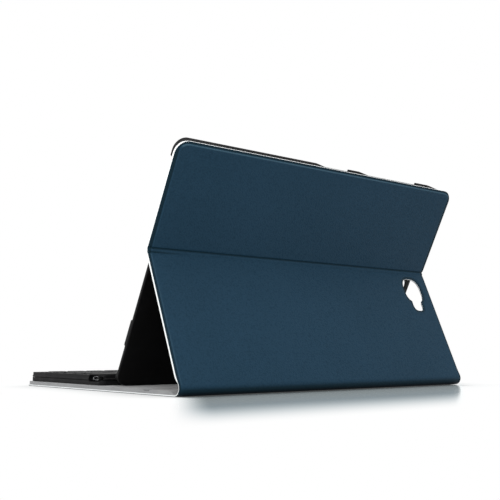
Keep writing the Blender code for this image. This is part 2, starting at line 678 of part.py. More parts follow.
def build_keyboard_deck(sides, openings, fixed_caps):
    """The upper housing: a plate with key openings and a raised, hollow rear for the battery."""
    deck = part("keyboard_deck", outline_mesh("keyboard_deck", [keyboard_outline()], DECK_LOW, HUMP_HIGH),
                "black_housing", KEYBOARD)
    round_edges(deck, HUMP_EDGE, 2)
    half_x = KEYBOARD_WIDTH / 2 + CUT_PAST
    front = -KEYBOARD_DEPTH / 2 - CUT_PAST
    top = HUMP_HIGH + CUT_PAST
    slope = HUMP_SLOPE * (top - DECK_HIGH) / HUMP_RISE
    step = [(front, DECK_HIGH), (HUMP_FRONT, DECK_HIGH), (HUMP_FRONT + slope, top), (front, top)]
    combine(deck, cutter("key_field", from_side("key_field", step, 0, 0, -half_x, half_x), KEYBOARD))
    cavity = rectangle(BAY_LEFT, BAY_RIGHT, BAY_LOW_Y, BAY_HIGH_Y)
    cavity_mesh = outline_mesh("hump_cavity", [cavity], DECK_LOW - CUT_PAST, HUMP_HIGH - HUMP_ROOF)
    combine(deck, cutter("hump_cavity", cavity_mesh, KEYBOARD))
    for name, x, radius in (("button_hole", BUTTON_X, BUTTON_RADIUS), ("light_hole", LIGHT_X, LIGHT_RADIUS)):
        outline = arc((x, HUMP_MIDDLE), radius + KEY_CLEARANCE, 0, 2 * pi, ROUND_SIDES)[:-1]
        mesh = outline_mesh(name, [outline], HUMP_HIGH - HUMP_ROOF - CUT_PAST, top)
        combine(deck, cutter(name, mesh, KEYBOARD))
    for side in sides:
        combine(deck, side)
    combine(deck, openings)
    combine(deck, fixed_caps, "UNION")


def build_controls():
    """The power switch, the connect button and the status light."""
    switch = from_side("power_switch", rectangle(-SWITCH_LENGTH / 2, SWITCH_LENGTH / 2,
                                                 -SWITCH_HEIGHT / 2, SWITCH_HEIGHT / 2),
                       0, 0, BAY_RIGHT, KEYBOARD_WIDTH / 2 - RECESS_DEPTH / 4)
    obj = part("power_switch", switch, "black_key", KEYBOARD)
    obj.location = (0, SWITCH_Y - SWITCH_TRAVEL / 2, RECESS_Z)
    roof_low = HUMP_HIGH - HUMP_ROOF
    for name, x, radius, proud, finish in (
            ("connect_button", BUTTON_X, BUTTON_RADIUS, BUTTON_PROUD, "black_key"),
            ("status_light", LIGHT_X, LIGHT_RADIUS, 0.0, "clear_lens")):
        outline = arc((0, 0), radius, 0, 2 * pi, ROUND_SIDES)[:-1]
        obj = part(name, outline_mesh(name, [outline], roof_low, HUMP_HIGH + proud), finish, KEYBOARD)
        obj.location = (x, HUMP_MIDDLE, 0)


def build_keyboard_inside():
    """What the housing holds: membrane, steel strip, battery, control board and charging port."""
    well_y0 = -KEYBOARD_DEPTH / 2 + BASE_WALL + INNER_MARGIN
    well_y1 = BAY_LOW_Y - BAY_WALL - INNER_MARGIN
    bay_y0 = BAY_LOW_Y + INNER_MARGIN
    bay_y1 = BAY_HIGH_Y - INNER_MARGIN
    left = BAY_LEFT + INNER_MARGIN
    right = BAY_RIGHT - INNER_MARGIN
    board_high = ABOVE_STEEL + CONTROL_BOARD
    pieces = [
        ("key_membrane", (left, right, well_y0, well_y1), INNER_LOW, MEMBRANE_HIGH, "grey_rubber"),
        ("keyboard_steel_strip", (left, right, bay_y0, bay_y1), INNER_LOW, INNER_LOW + STEEL_STRIP,
         "bright_metal"),
        ("battery_cell", (BATTERY_LEFT, BATTERY_LEFT + BATTERY_LENGTH, bay_y0, bay_y1), ABOVE_STEEL,
         ABOVE_STEEL + BATTERY_THICKNESS, "silver_wrap"),
        ("control_board", (CONTROL_BOARD_LEFT, right, bay_y0, bay_y1), ABOVE_STEEL, board_high,
         "green_board"),
    ]
    for name, bounds, low, high, finish in pieces:
        part(name, outline_mesh(name, [rectangle(*bounds)], low, high), finish, KEYBOARD)
    front = RECESS_FLOOR - SEAT_GAP
    port = from_side("charge_port", side_outline(PORT_WIDTH, PORT_HEIGHT), PORT_Y, RECESS_Z,
                     front - PORT_LENGTH, front)
    socket = from_side("port_socket", side_outline(PORT_WIDTH - 2 * PORT_WALL, PORT_HEIGHT - 2 * PORT_WALL),
                       PORT_Y, RECESS_Z, front - PORT_LENGTH + PORT_WALL, front + CUT_PAST)
    obj = part("charge_port", port, "bright_metal", KEYBOARD)
    combine(obj, cutter("port_socket", socket, KEYBOARD))


def build_keyboard():
    sides = side_cutters()
    build_keyboard_base(sides)
    openings, fixed_caps = build_keys()
    build_keyboard_deck(sides, openings, fixed_caps)
    build_keyboard_inside()
    build_controls()


clear_scene()
PARTS = new_collection("tablet_keyboard_case")
CUTTERS = new_collection("cutters")
REAR_AXIS = axis_empty("rear_fold_axis", None, (0, REAR_AXIS_Y, FOLD_DROP), KICKSTAND_TURN)
MIDDLE_AXIS = axis_empty("middle_fold_axis", REAR_AXIS, (0, KICKSTAND_SPAN, -FOLD_DROP),
                         UPPER_BACK_TURN - KICKSTAND_TURN)
KEYBOARD = axis_empty("keyboard_place", None, (0, KEYBOARD_Y, KEYBOARD_Z), 0)
build_cover_and_spine()
build_rear_fold()
build_kickstand()
build_middle_fold()
build_upper_back()
build_tablet_shell()
build_keyboard()
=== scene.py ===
"""Looks of the standing tablet keyboard case: folio leather and lining, tablet shell, keyboard and studio."""

import json
from math import copysign, cos, hypot, pi, radians, sin, sqrt, tan

import bmesh
import bpy
import numpy as np
from mathutils import Matrix, Vector


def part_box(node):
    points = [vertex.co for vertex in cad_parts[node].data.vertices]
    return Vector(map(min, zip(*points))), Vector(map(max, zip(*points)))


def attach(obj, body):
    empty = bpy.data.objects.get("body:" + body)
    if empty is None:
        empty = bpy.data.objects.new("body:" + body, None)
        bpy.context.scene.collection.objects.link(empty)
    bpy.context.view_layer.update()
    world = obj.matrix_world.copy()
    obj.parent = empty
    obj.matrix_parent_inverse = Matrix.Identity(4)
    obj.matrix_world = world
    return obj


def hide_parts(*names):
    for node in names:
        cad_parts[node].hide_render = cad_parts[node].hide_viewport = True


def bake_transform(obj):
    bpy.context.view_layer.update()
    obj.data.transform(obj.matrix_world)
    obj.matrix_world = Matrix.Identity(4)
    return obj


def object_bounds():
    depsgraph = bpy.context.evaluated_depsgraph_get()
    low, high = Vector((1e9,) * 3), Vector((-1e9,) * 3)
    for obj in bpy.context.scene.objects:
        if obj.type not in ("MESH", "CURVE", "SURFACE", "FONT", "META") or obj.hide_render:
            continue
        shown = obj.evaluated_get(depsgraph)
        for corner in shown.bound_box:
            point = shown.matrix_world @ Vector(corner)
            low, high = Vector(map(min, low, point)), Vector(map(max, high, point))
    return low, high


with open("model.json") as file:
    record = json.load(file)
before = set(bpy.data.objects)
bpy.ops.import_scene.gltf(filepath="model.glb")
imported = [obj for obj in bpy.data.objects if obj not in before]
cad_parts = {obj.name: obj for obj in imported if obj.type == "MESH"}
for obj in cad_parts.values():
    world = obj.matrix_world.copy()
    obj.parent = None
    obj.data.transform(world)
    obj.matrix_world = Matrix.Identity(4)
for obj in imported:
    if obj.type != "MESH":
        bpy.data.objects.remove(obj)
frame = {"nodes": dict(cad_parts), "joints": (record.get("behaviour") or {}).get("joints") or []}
CAD_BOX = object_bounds()

# Places and turns of the two folds, from the frame's joints
JOINTS = {joint["name"]: joint for joint in frame["joints"]}
REAR_AXIS = Vector(JOINTS["back_fold"]["pos_m"])
MIDDLE_AXIS = Vector(JOINTS["back_middle_fold"]["pos_m"])
KICKSTAND_TURN = radians(JOINTS["back_fold"]["range_deg"][1])
FOLD_BEND = radians(JOINTS["back_middle_fold"]["range_deg"][1])
UPPER_TURN = KICKSTAND_TURN - FOLD_BEND
REAR_RADIUS = 0.005
REAR_REACH = REAR_RADIUS * sin(KICKSTAND_TURN / 2)
REAR_DROP = REAR_RADIUS * (1 - cos(KICKSTAND_TURN / 2))
KICKSTAND_SPAN = sqrt((MIDDLE_AXIS - REAR_AXIS).length_squared - REAR_DROP ** 2)

# Folio outline, from the frame's boxes
COVER_LOW, COVER_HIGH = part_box("front_cover_skin")
SPINE_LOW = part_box("spine_skin")[0]
HALF_WIDTH = COVER_HIGH[0]
CASE_FRONT = COVER_LOW[1]
FRONT_FOLD = (COVER_HIGH[1], SPINE_LOW[1])
ARC_Y = REAR_AXIS.y - REAR_REACH
FOLD_MARGIN = 0.0022
KICKSTAND_HIGH = KICKSTAND_SPAN - FOLD_MARGIN
UPPER_HIGH = 0.0697
CORNER = 0.009

# Layers of the folio, measured in from the outer leather
LEATHER = 0.0010
FLOOR_LEATHER = 0.0003
PANEL = 0.00325
UPPER_PANEL = 0.0028
FOLD_PANEL = 0.0019
FOLD_RAMP = 0.0022
REAR_FOLD_PANEL = 0.0012
REAR_FOLD_RAMP = 0.0055
STANDING_RUN = 0.006
CORE = 0.0025
FLOOR_CORE = 0.0009
LINING = 0.00035
CORE_INSET = 0.00015
CORE_TRIM = 0.00012
LINING_INSET = 0.0007
WINDOW_SETBACK = 0.0005
LAYER_GAP = 0.00002
FOLD_OVERLAP = 0.0005
JOIN_OVERLAP = 0.0004
PAST_END = 0.01
CORE_TRIM_RUN = 0.003

# Pressed border of the leather and the painted highlight on its ridge, creases and wrinkles of the middle
# fold with painted shade in the creases, painted shade down the rear fold
BORDER = 0.0024
BORDER_STEP = 0.0008
BORDER_DEPTH = 0.0004
FLOOR_BORDER_DEPTH = 0.0001
EDGE_ROLL = 0.0003
FLOOR_EDGE_ROLL = 0.00015
WINDOW_BORDER = 0.0016
RIDGE_HIGHLIGHT_WIDTH = 0.0008
SIDE_RIDGE_HIGHLIGHT = 0.06
KICKSTAND_RIDGE_HIGHLIGHT = 0.3
NARROWING = 1.7
CREASE_REACH = 0.0010
CREASE_DEPTH = 0.0005
CREASE_WIDTH = 0.00065
LOWER_CREASE_WIDTH = 0.0005
LOWER_CREASE_FROM = 0.100
LOWER_CREASE_RAMP = 0.024
FAINT_CREASE = 0.22
BAND_RISE = 0.00015
REAR_SHADE_TOP = 0.98
REAR_SHADE_RAMP = 0.75
DEEP_SHADE = 2.0
WRINKLE = 0.00028
CREASE_WRINKLE = 0.35
CREASE_OFFSET = 0.0002
CREASE_SINK = 0.0003
BAND_RAMP = 0.0006
BORDER_SHADE_LEAD = 0.0004
BORDER_SHADE_RAMP = 0.0006
TOP_HIGHLIGHT_TURN = 0.004
SHADE_START = 0.05

# Waves of the wrinkles: turn per metre across, shift, and turn per metre along the sheet
WRINKLE_WAVES = ((410, 0.3, 900), (655, 2.1, -1300), (980, 4.0, 1700), (240, 1.2, 500), (1490, 5.1, -2100))
WAVE_WANDER = 1.7
WANDER_TURN = 37

# Distances between the folio's mesh lines
WIDE_GAP = 0.006
UPPER_GAP = 0.0022
FOLD_STEP = 0.0005
REAR_FOLD_STEPS = 24
BESIDE_FOLD_STEPS = 14
WINDOW_STEP = 0.0008
MIDDLE_FOLD_STEP = 0.00016
MIDDLE_FOLD_PAST = 0.003
BESIDE_ROLL = [0.0006, 0.0010]
INSIDE_BORDER = [0.0042, 0.006, 0.0075, 0.0095]

# Camera window: a large and a small lobe, each with its radius and how far below the middle fold it lies
WINDOW_X = -0.1115
LARGE_LOBE = (0.0102, 0.0155)
SMALL_LOBE = (0.0058, 0.0272)
SHELL_WINDOW_INSET = 0.0012
LOBE_STEPS = 72
LOBE_SQUARENESS = 2.7
EXIT_HALVINGS = 40
WINDOW_BELOW = 0.004
WINDOW_BESIDE = 0.0145
WINDOW_LOWEST = 0.03
WINDOW_CUT = (-0.008, 0.006)

# Tablet shell, in the upper panel's own frame
SHELL_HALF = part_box("tablet_shell")[1][0]
SHELL_TOP = 0.0695
SHELL_LOW = 0.0035
SHELL_RISE = 0.011
SHELL_BACK = 0.0016
SHELL_WALL = 0.0018
SHELL_LIP = 0.0009
SHELL_LIP_RISE = 0.0014
SHELL_CORNER = 0.009
SHELL_BOTTOM_ROUND = 0.0007
SHELL_RIM_ROUND = 0.0006
SHELL_FLOOR_ROUND = 0.0008
RIM_ROUND_SHARE = 0.45
FLOOR_ROUND_SHARE = 0.4
LIP_START = 0.006
SHELL_STEP = 0.0007
SHELL_CORNER_STEPS = 20

# Breaks in the shell's walls: from, to, height left, and the ramps at both ends
BREAK_RISE = 0.0018
CLIP_RISE = 0.0034
BREAK_RAMP = 0.0025
LONG_RAMP = 0.006
SHORT_RAMP = 0.0006
TOP_BREAKS = ((-0.0195, 0.0055, BREAK_RISE, LONG_RAMP, SHORT_RAMP),
              (-0.0945, -0.0380, BREAK_RISE, LONG_RAMP, SHORT_RAMP))
SIDE_BREAKS = ((-0.0865, 0.0543, CLIP_RISE, BREAK_RAMP, BREAK_RAMP),
               (-0.0498, 0.0543, BREAK_RISE, BREAK_RAMP, BREAK_RAMP),
               (-0.0865, -0.0678, BREAK_RISE, BREAK_RAMP, BREAK_RAMP))
BOTTOM_BREAKS = ((-0.017, 0.017, BREAK_RISE, BREAK_RAMP, BREAK_RAMP),)

# Keyboard, from the frame's boxes and its own sizes
BASE_LOW, BASE_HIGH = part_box("keyboard_base")
KEYBOARD = Vector(((BASE_LOW[0] + BASE_HIGH[0]) / 2, (BASE_LOW[1] + BASE_HIGH[1]) / 2, BASE_LOW[2]))
KEYBOARD_HALF = (BASE_HIGH[0] - BASE_LOW[0]) / 2
KEYBOARD_DEEP = (BASE_HIGH[1] - BASE_LOW[1]) / 2
KEYBOARD_CORNER = 0.004
DECK_LOW = 0.00305
DECK_HIGH = 0.0045
HUMP_HIGH = 0.0073
HUMP_DEPTH = 0.0185
HUMP_SLOPE = 0.0015
HUMP_ROOF = 0.0012
HUMP_ROUND = 0.0012
HUMP_FRONT = KEYBOARD_DEEP - HUMP_DEPTH
HUMP_MIDDLE = HUMP_FRONT + HUMP_DEPTH / 2
HOUSING_WALL = 0.0016
END_BLOCK = 0.005
RECESS = (0.017, 0.0044)
RECESS_DEPTH = 0.0025
RECESS_Z = 0.00425
SEAM_STEP = 0.00035
BEZEL_HIGH = 0.0064
BEZEL_END = 0.0078
BEZEL_FRONT = 0.004
KEY_END_MARGIN = 0.009
KEY_FRONT_MARGIN = 0.004
KEY_REAR_MARGIN = 0.001
TOP_ROW_PITCH = 0.009
KEY_SPACING = 0.0024
KEY_GAP = 0.00035
KEY_CORNER = 0.0016
KEY_TAPER = 0.0006
KEY_ROUND = 0.0005
KEY_DISH = 0.00014
KEY_HIGH = 0.0068
KEY_LOW = 0.0033
FIXED_KEY_LOW = 0.0040
LEGEND_LIFT = 0.00003
LETTER_SIZE = 0.0044
WORD_SIZE = 0.0026
SMALLEST_CORNER = 0.0003
CORNER_CLEARANCE = 0.00001
CORNER_STEPS = 4
DECK_EASE = (0.00015, 0.0002)
CUT_PAST = 0.002

# Small controls of the keyboard
BUTTON_ROLL = 0.0004
BUTTON_DISH = 0.0003
LENS_DOME = 0.0003
SWITCH_EASE = 0.00018
SWITCH_CORNER = 0.0003
GROOVE_HALF = 0.00018
GROOVE_PITCH = 0.0007
GROOVE_DEPTH = 0.0002
GROOVE_CORNER = 0.00005
GROOVE_PAST = 0.001
PORT_WALL = 0.0004
PORT_ROLL = 0.00012
TONGUE_HALF = (0.0023, 0.00035)
TONGUE_CORNER = 0.00015
TONGUE_SETBACK = 0.0012

# Key rows from the user's edge to the rear: name, width in units and legend
KEY_ROWS = [
    [("fn", 1, "fn"), ("ctrl", 1, "ctrl"), ("alt", 1, "alt"), ("cmd_left", 1.25, "cmd"), ("space", 6.5, ""),
     ("cmd_right", 1.25, "cmd"), ("left", 1, "<"), ("down", 1, "v"), ("right", 1, ">")],
    [("shift_left", 2.25, "shift"), *[(letter, 1, letter.upper()) for letter in "zxcvbnm"],
     ("comma", 1, ","), ("stop", 1, "."), ("slash", 1, "/"), ("up", 1, "^"), ("shift_right", 1.75, "shift")],
    [("caps", 1.75, "caps"), *[(letter, 1, letter.upper()) for letter in "asdfghjkl"],
     ("semicolon", 1, ";"), ("quote", 1, "'"), ("enter", 2.25, "enter")],
    [("tab", 1.5, "tab"), *[(letter, 1, letter.upper()) for letter in "qwertyuiop"],
     ("open_bracket", 1, "["), ("close_bracket", 1, "]"), ("backslash", 1.5, "\\")],
    [("grave", 1, "`"), *[(digit, 1, digit) for digit in "1234567890"], ("minus", 1, "-"),
     ("equals", 1, "="), ("backspace", 2, "back")],
    [("esc", 1, "esc"), *[("f%d" % number, 1, "F%d" % number) for number in range(1, 13)],
     ("lock", 1, "lock"), ("delete", 1, "del")],
]

# Camera fitted to the photograph, in metres, degrees and pixels
CAMERA_PLACE = (0.40232, 0.48690, 0.02756)
CAMERA_YAW = 39.895
CAMERA_PITCH = 6.779
CAMERA_FOCUS = 825.75
IMAGE_WIDTH = 500
SENSOR_WIDTH = 36
NEAREST_SEEN = 0.01

# White floor: where shadow and mirrored foot of the kickstand start and end, and how strong they are
CASE_REAR = CAD_BOX[1][1]
FLOOR_HALF = 8.0
FLOOR_DROP = 0.0002
FLOOR_LIT = (0.86, 0.87, 0.87, 1)
FLOOR_SHADED = (0.10, 0.12, 0.13, 1)
SHADOW_REACH = 0.05
SHADOW_SHARE = 0.5
MIRROR_START = (-0.0052, -0.0042)
MIRROR_REACH = (0.06, 0.15)
MIRROR_NEAR_SLANT = 0.7
MIRROR_NEAR_END = (HALF_WIDTH - 0.02, HALF_WIDTH + 0.006)
MIRROR_FAR_SLANT = 1.38
MIRROR_FAR_END = (-HALF_WIDTH - 0.004, -HALF_WIDTH + 0.004)
MIRROR_SHARE = 0.74
PAINTED_REFLECTION_TINT = (0.88, 0.98, 1.0, 1)
MIRROR_BLUR = 0.12
STEEP_SHARE = 0.12
GRAZING = (0.72, 0.93)
UNDER_SPINE = (-0.025, -0.015)
CONTACT_REACH = (-0.004, 0.022)
CONTACT_SHARE = 0.9
CONTACT_END = (-0.006, 0.002)
SIDE_CONTACT_REACH = (-0.002, 0.035)
SIDE_CONTACT_SHARE = 0.3
SIDE_CONTACT_END = (-0.02, 0.012)

# Lights: a white surround, a dark card for the shell's edges, and softboxes with place, size and power
WHITE = (1, 1, 1, 1)
SURROUND_STRENGTH = 0.55
CARD_PLACE = Vector((-1.0, -0.82, 1.25))
CARD_TARGET = Vector((0, 0.03, 0.155))
CARD_SIZE = (2.6, 1.5)
CARD_BLACK = (0.01, 0.01, 0.01, 1)
LIGHT_TARGET = Vector((0, 0.02, 0.07))
SOFTBOXES = (("overhead_softbox", (0.0, 0.25, 1.3), (1.6, 1.2), 11),
             ("back_softbox", (0.65, 1.3, 0.8), (1.4, 0.9), 7.5),
             ("side_softbox", (1.0, 0.45, 0.4), (0.5, 0.9), 4.5))

# Tones of the navy leather: its field, pores and pressed border, the painted highlight on its ridge, the
# painted shade in its creases and down its rear fold, and of rubbed black edges
NAVY_FIELD = ((0.0082, 0.0310, 0.0550, 1), (0.0100, 0.0350, 0.0620, 1))
NAVY_PORE = (0.0045, 0.0190, 0.0350, 1)
NAVY_PAINTED_HIGHLIGHT = (0.0420, 0.0900, 0.1280, 1)
NAVY_BORDER_AND_CREASE_SHADE = (0.0030, 0.0165, 0.0270, 1)
NAVY_PAINTED_FOLD_SHADE = (0.0002, 0.0075, 0.0130, 1)
RUBBED_BLACK = (0.03, 0.03, 0.031, 1)


# Shader helpers
def add_node(tree, kind, settings=None, **inputs):
    """A node with its settings; an input takes a value or the socket that feeds it."""
    made = tree.nodes.new(kind)
    for name, value in (settings or {}).items():
        setattr(made, name, value)
    for name, value in inputs.items():
        socket = made.inputs[int(name[1:])] if name[0] == "_" else made.inputs[name.replace("_", " ")]
        if isinstance(value, bpy.types.NodeSocket):
            tree.links.new(value, socket)
        else:
            socket.default_value = value
    return made


def maths(tree, operation, first, second=0.0):
    return add_node(tree, "ShaderNodeMath", {"operation": operation}, _0=first, _1=second).outputs[0]


def product(tree, first, second):
    return maths(tree, "MULTIPLY", first, second)


def weighted(tree, first, first_share, second, second_share):
    """The sum of two values, each with its share."""
    return maths(tree, "ADD", product(tree, first, first_share), product(tree, second, second_share))


def blended(tree, factor, first, second, kind="MIX"):
    """A colour between two colours."""
    return add_node(tree, "ShaderNodeMix", {"data_type": "RGBA", "blend_type": kind},
                    _0=factor, _6=first, _7=second).outputs[2]


def between(tree, value, low, high, to_low=0.0, to_high=1.0):
    """A value carried smoothly from one range to another."""
    return add_node(tree, "ShaderNodeMapRange", {"interpolation_type": "SMOOTHSTEP"}, Value=value,
                    From_Min=low, From_Max=high, To_Min=to_low, To_Max=to_high).outputs[0]


def shader_group(name, inputs, outputs):
    tree = bpy.data.node_groups.new(name, "ShaderNodeTree")
    for label, default in inputs:
        socket = tree.interface.new_socket(label, in_out="INPUT", socket_type="NodeSocketFloat")
        socket.default_value = default
    for label in outputs:
        tree.interface.new_socket(label, in_out="OUTPUT", socket_type="NodeSocketFloat")
    return tree, tree.nodes.new("NodeGroupInput").outputs, tree.nodes.new("NodeGroupOutput")


def object_place(tree):
    return tree.nodes.new("ShaderNodeTexCoord").outputs["Object"]


def noise(tree, place, scale, detail=3.0, roughness=0.55):
    return add_node(tree, "ShaderNodeTexNoise", None, Vector=place, Scale=scale, Detail=detail,
                    Roughness=roughness).outputs[0]


def leather_grain_group():
    """Fine pebbled grain: height of the pebbles, and a slow drift of tone."""
    tree, given, result = shader_group("leather_grain", [("Pebbles", 1100.0), ("Drift", 14.0)],
                                       ["Height", "Tone"])
    place = object_place(tree)
    pebbles = add_node(tree, "ShaderNodeTexVoronoi", {"feature": "SMOOTH_F1"}, Vector=place,
                       Scale=given["Pebbles"], Smoothness=0.4).outputs["Distance"]
    pores = noise(tree, place, product(tree, given["Pebbles"], 2.6), detail=2.0)
    rounded = maths(tree, "SUBTRACT", 1.0, product(tree, pebbles, 1.1))
    tree.links.new(weighted(tree, rounded, 0.75, pores, 0.35), result.inputs["Height"])
    drift = noise(tree, place, given["Drift"], detail=4.0)
    mottle = noise(tree, place, product(tree, given["Pebbles"], 0.35))
    tree.links.new(weighted(tree, drift, 0.5, mottle, 0.5), result.inputs["Tone"])
    return tree


def moulded_surface_group():
    """Fine spark-eroded texture of moulded plastic, with faint handling marks."""
    tree, given, result = shader_group("moulded_surface", [("Grain", 2600.0), ("Marks", 45.0)],
                                       ["Height", "Marks"])
    place = object_place(tree)
    tree.links.new(noise(tree, place, given["Grain"], 3.0, roughness=0.6), result.inputs["Height"])
    tree.links.new(noise(tree, place, given["Marks"], 5.0, roughness=0.6), result.inputs["Marks"])
    return tree


def edge_rub_group():
    """A mask along convex edges, broken up so that the rubbing looks uneven."""
    tree, given, result = shader_group("edge_rub", [("Reach", 0.54), ("Patches", 160.0)], ["Mask"])
    point = tree.nodes.new("ShaderNodeNewGeometry").outputs["Pointiness"]
    edge = between(tree, point, 0.51, given["Reach"])
    patches = between(tree, noise(tree, object_place(tree), given["Patches"], detail=4.0), 0.4, 0.7)
    tree.links.new(product(tree, edge, patches), result.inputs["Mask"])
    return tree


def nap_group():
    """Short brushed nap of a microfibre lining: fibre height and shade."""
    tree, given, result = shader_group("brushed_nap", [("Fibres", 2200.0), ("Strokes", 60.0)],
                                       ["Height", "Shade"])
    place = object_place(tree)
    fibres = noise(tree, place, given["Fibres"], detail=4.0, roughness=0.7)
    strokes = noise(tree, place, given["Strokes"])
    tree.links.new(fibres, result.inputs["Height"])
    tree.links.new(weighted(tree, fibres, 0.6, strokes, 0.4), result.inputs["Shade"])
    return tree


LEATHER_GRAIN = leather_grain_group()
MOULDED_SURFACE = moulded_surface_group()
EDGE_RUB = edge_rub_group()
BRUSHED_NAP = nap_group()


def group_node(tree, group, **values):
    made = tree.nodes.new("ShaderNodeGroup")
    made.node_tree = group
    for name, value in values.items():
        made.inputs[name].default_value = value
    return made.outputs


def new_material(name, **constants):
    """A material with its shader's constant values set on the shader itself."""
    material = bpy.data.materials.new(name)
    material.use_nodes = True
    shader = material.node_tree.nodes["Principled BSDF"]
    for label, value in constants.items():
        shader.inputs[label.replace("_", " ")].default_value = value
    return material, material.node_tree, shader


def set_look(tree, shader, colour, rough, height=None, strength=1.0, depth=0.0):
    """Feeds the shader's colour and roughness and, where a height is given, its bump."""
    tree.links.new(colour, shader.inputs["Base Color"])
    tree.links.new(rough, shader.inputs["Roughness"])
    if height is not None:
        bump = add_node(tree, "ShaderNodeBump", None, Height=height, Strength=strength, Distance=depth)
        tree.links.new(bump.outputs["Normal"], shader.inputs["Normal"])


# Finishes
def navy_leather():
    """Grained leather, darker in its pores and pressed border, with painted shade in the creases and down the
    rear fold and a painted highlight on the ridge.
    """
    material, tree, shader = new_material("navy_leather", Specular_IOR_Level=0.09)
    grain = group_node(tree, LEATHER_GRAIN, Pebbles=1000.0, Drift=14.0)
    press = add_node(tree, "ShaderNodeAttribute", {"attribute_name": "press"}).outputs["Fac"]
    field = blended(tree, between(tree, grain["Tone"], 0.35, 0.65), *NAVY_FIELD)
    pored = blended(tree, between(tree, grain["Height"], 0.25, 0.55, 0.35, 0.0), field, NAVY_PORE)
    # Painted highlight: the ridge inside the border is lighter
    highlighted = blended(tree, between(tree, press, -1.0, 0.0, 0.8, 0.0), pored, NAVY_PAINTED_HIGHLIGHT)
    # The pressed border's dark tone, also used as painted shade in the middle fold's creases
    border_and_crease_shaded = blended(tree, between(tree, press, 0.0, 1.0), highlighted, NAVY_BORDER_AND_CREASE_SHADE)
    # Painted shade down the rear fold, darkest where it turns under to the floor
    colour = blended(tree, between(tree, press, 1.0, DEEP_SHADE), border_and_crease_shaded, NAVY_PAINTED_FOLD_SHADE)
    rough = between(tree, grain["Height"], 0.2, 0.8, 0.62, 0.47)
    set_look(tree, shader, colour, rough, grain["Height"], strength=0.35, depth=0.00025)
    return material


def napped(name, dark, light, spread, rough, fibres, strokes, bump, depth, **constants):
    """A fibrous finish: two tones and a brushed nap of uneven roughness."""
    material, tree, shader = new_material(name, **constants)
    nap = group_node(tree, BRUSHED_NAP, Fibres=fibres, Strokes=strokes)
    colour = blended(tree, between(tree, nap["Shade"], *spread), (*dark, 1), (*light, 1))
    uneven = between(tree, nap["Height"], 0.3, 0.7, *rough)
    set_look(tree, shader, colour, uneven, nap["Height"], bump, depth)
    return material


def moulded_black(name, dark, light, rough, grain, bump, specular, tint):
    """A black moulded plastic with fine texture, handling marks and rubbed edges."""
    material, tree, shader = new_material(name, Specular_IOR_Level=specular,
                                          Specular_Tint=(tint, tint, tint, 1))
    surface = group_node(tree, MOULDED_SURFACE, Grain=grain, Marks=40.0)
    rub = group_node(tree, EDGE_RUB, Reach=0.56, Patches=150.0)
    marks = between(tree, surface["Marks"], 0.4, 0.65)
    colour = blended(tree, marks, (*dark, 1), (*light, 1))
    worn = blended(tree, product(tree, rub["Mask"], 0.3), colour, RUBBED_BLACK)
    uneven = maths(tree, "ADD", product(tree, marks, 0.08), rough)
    set_look(tree, shader, worn, uneven, surface["Height"], bump, depth=0.00012)
    return material


def white_legend():
    """Printed white lettering."""
    material, tree, shader = new_material("white_legend", Specular_IOR_Level=0.3)
    surface = group_node(tree, MOULDED_SURFACE, Grain=4000.0, Marks=300.0)
    colour = blended(tree, between(tree, surface["Marks"], 0.35, 0.65),
                     (0.58, 0.59, 0.60, 1), (0.70, 0.71, 0.72, 1))
    set_look(tree, shader, colour, between(tree, surface["Height"], 0.3, 0.7, 0.45, 0.6))
    return material


def plain_finish(name, dark, light, rough, grain, bump, metallic=0.0, specular=0.5):
    """A small part's finish: two tones, fine grain and an uneven gloss."""
    material, tree, shader = new_material(name, Metallic=metallic, Specular_IOR_Level=specular)
    surface = group_node(tree, MOULDED_SURFACE, Grain=grain, Marks=grain / 20)
    marks = between(tree, surface["Marks"], 0.35, 0.65)
    colour = blended(tree, marks, (*dark, 1), (*light, 1))
    uneven = maths(tree, "ADD", product(tree, marks, 0.15), rough)
    set_look(tree, shader, colour, uneven, surface["Height"], bump, depth=0.0001)
    return material


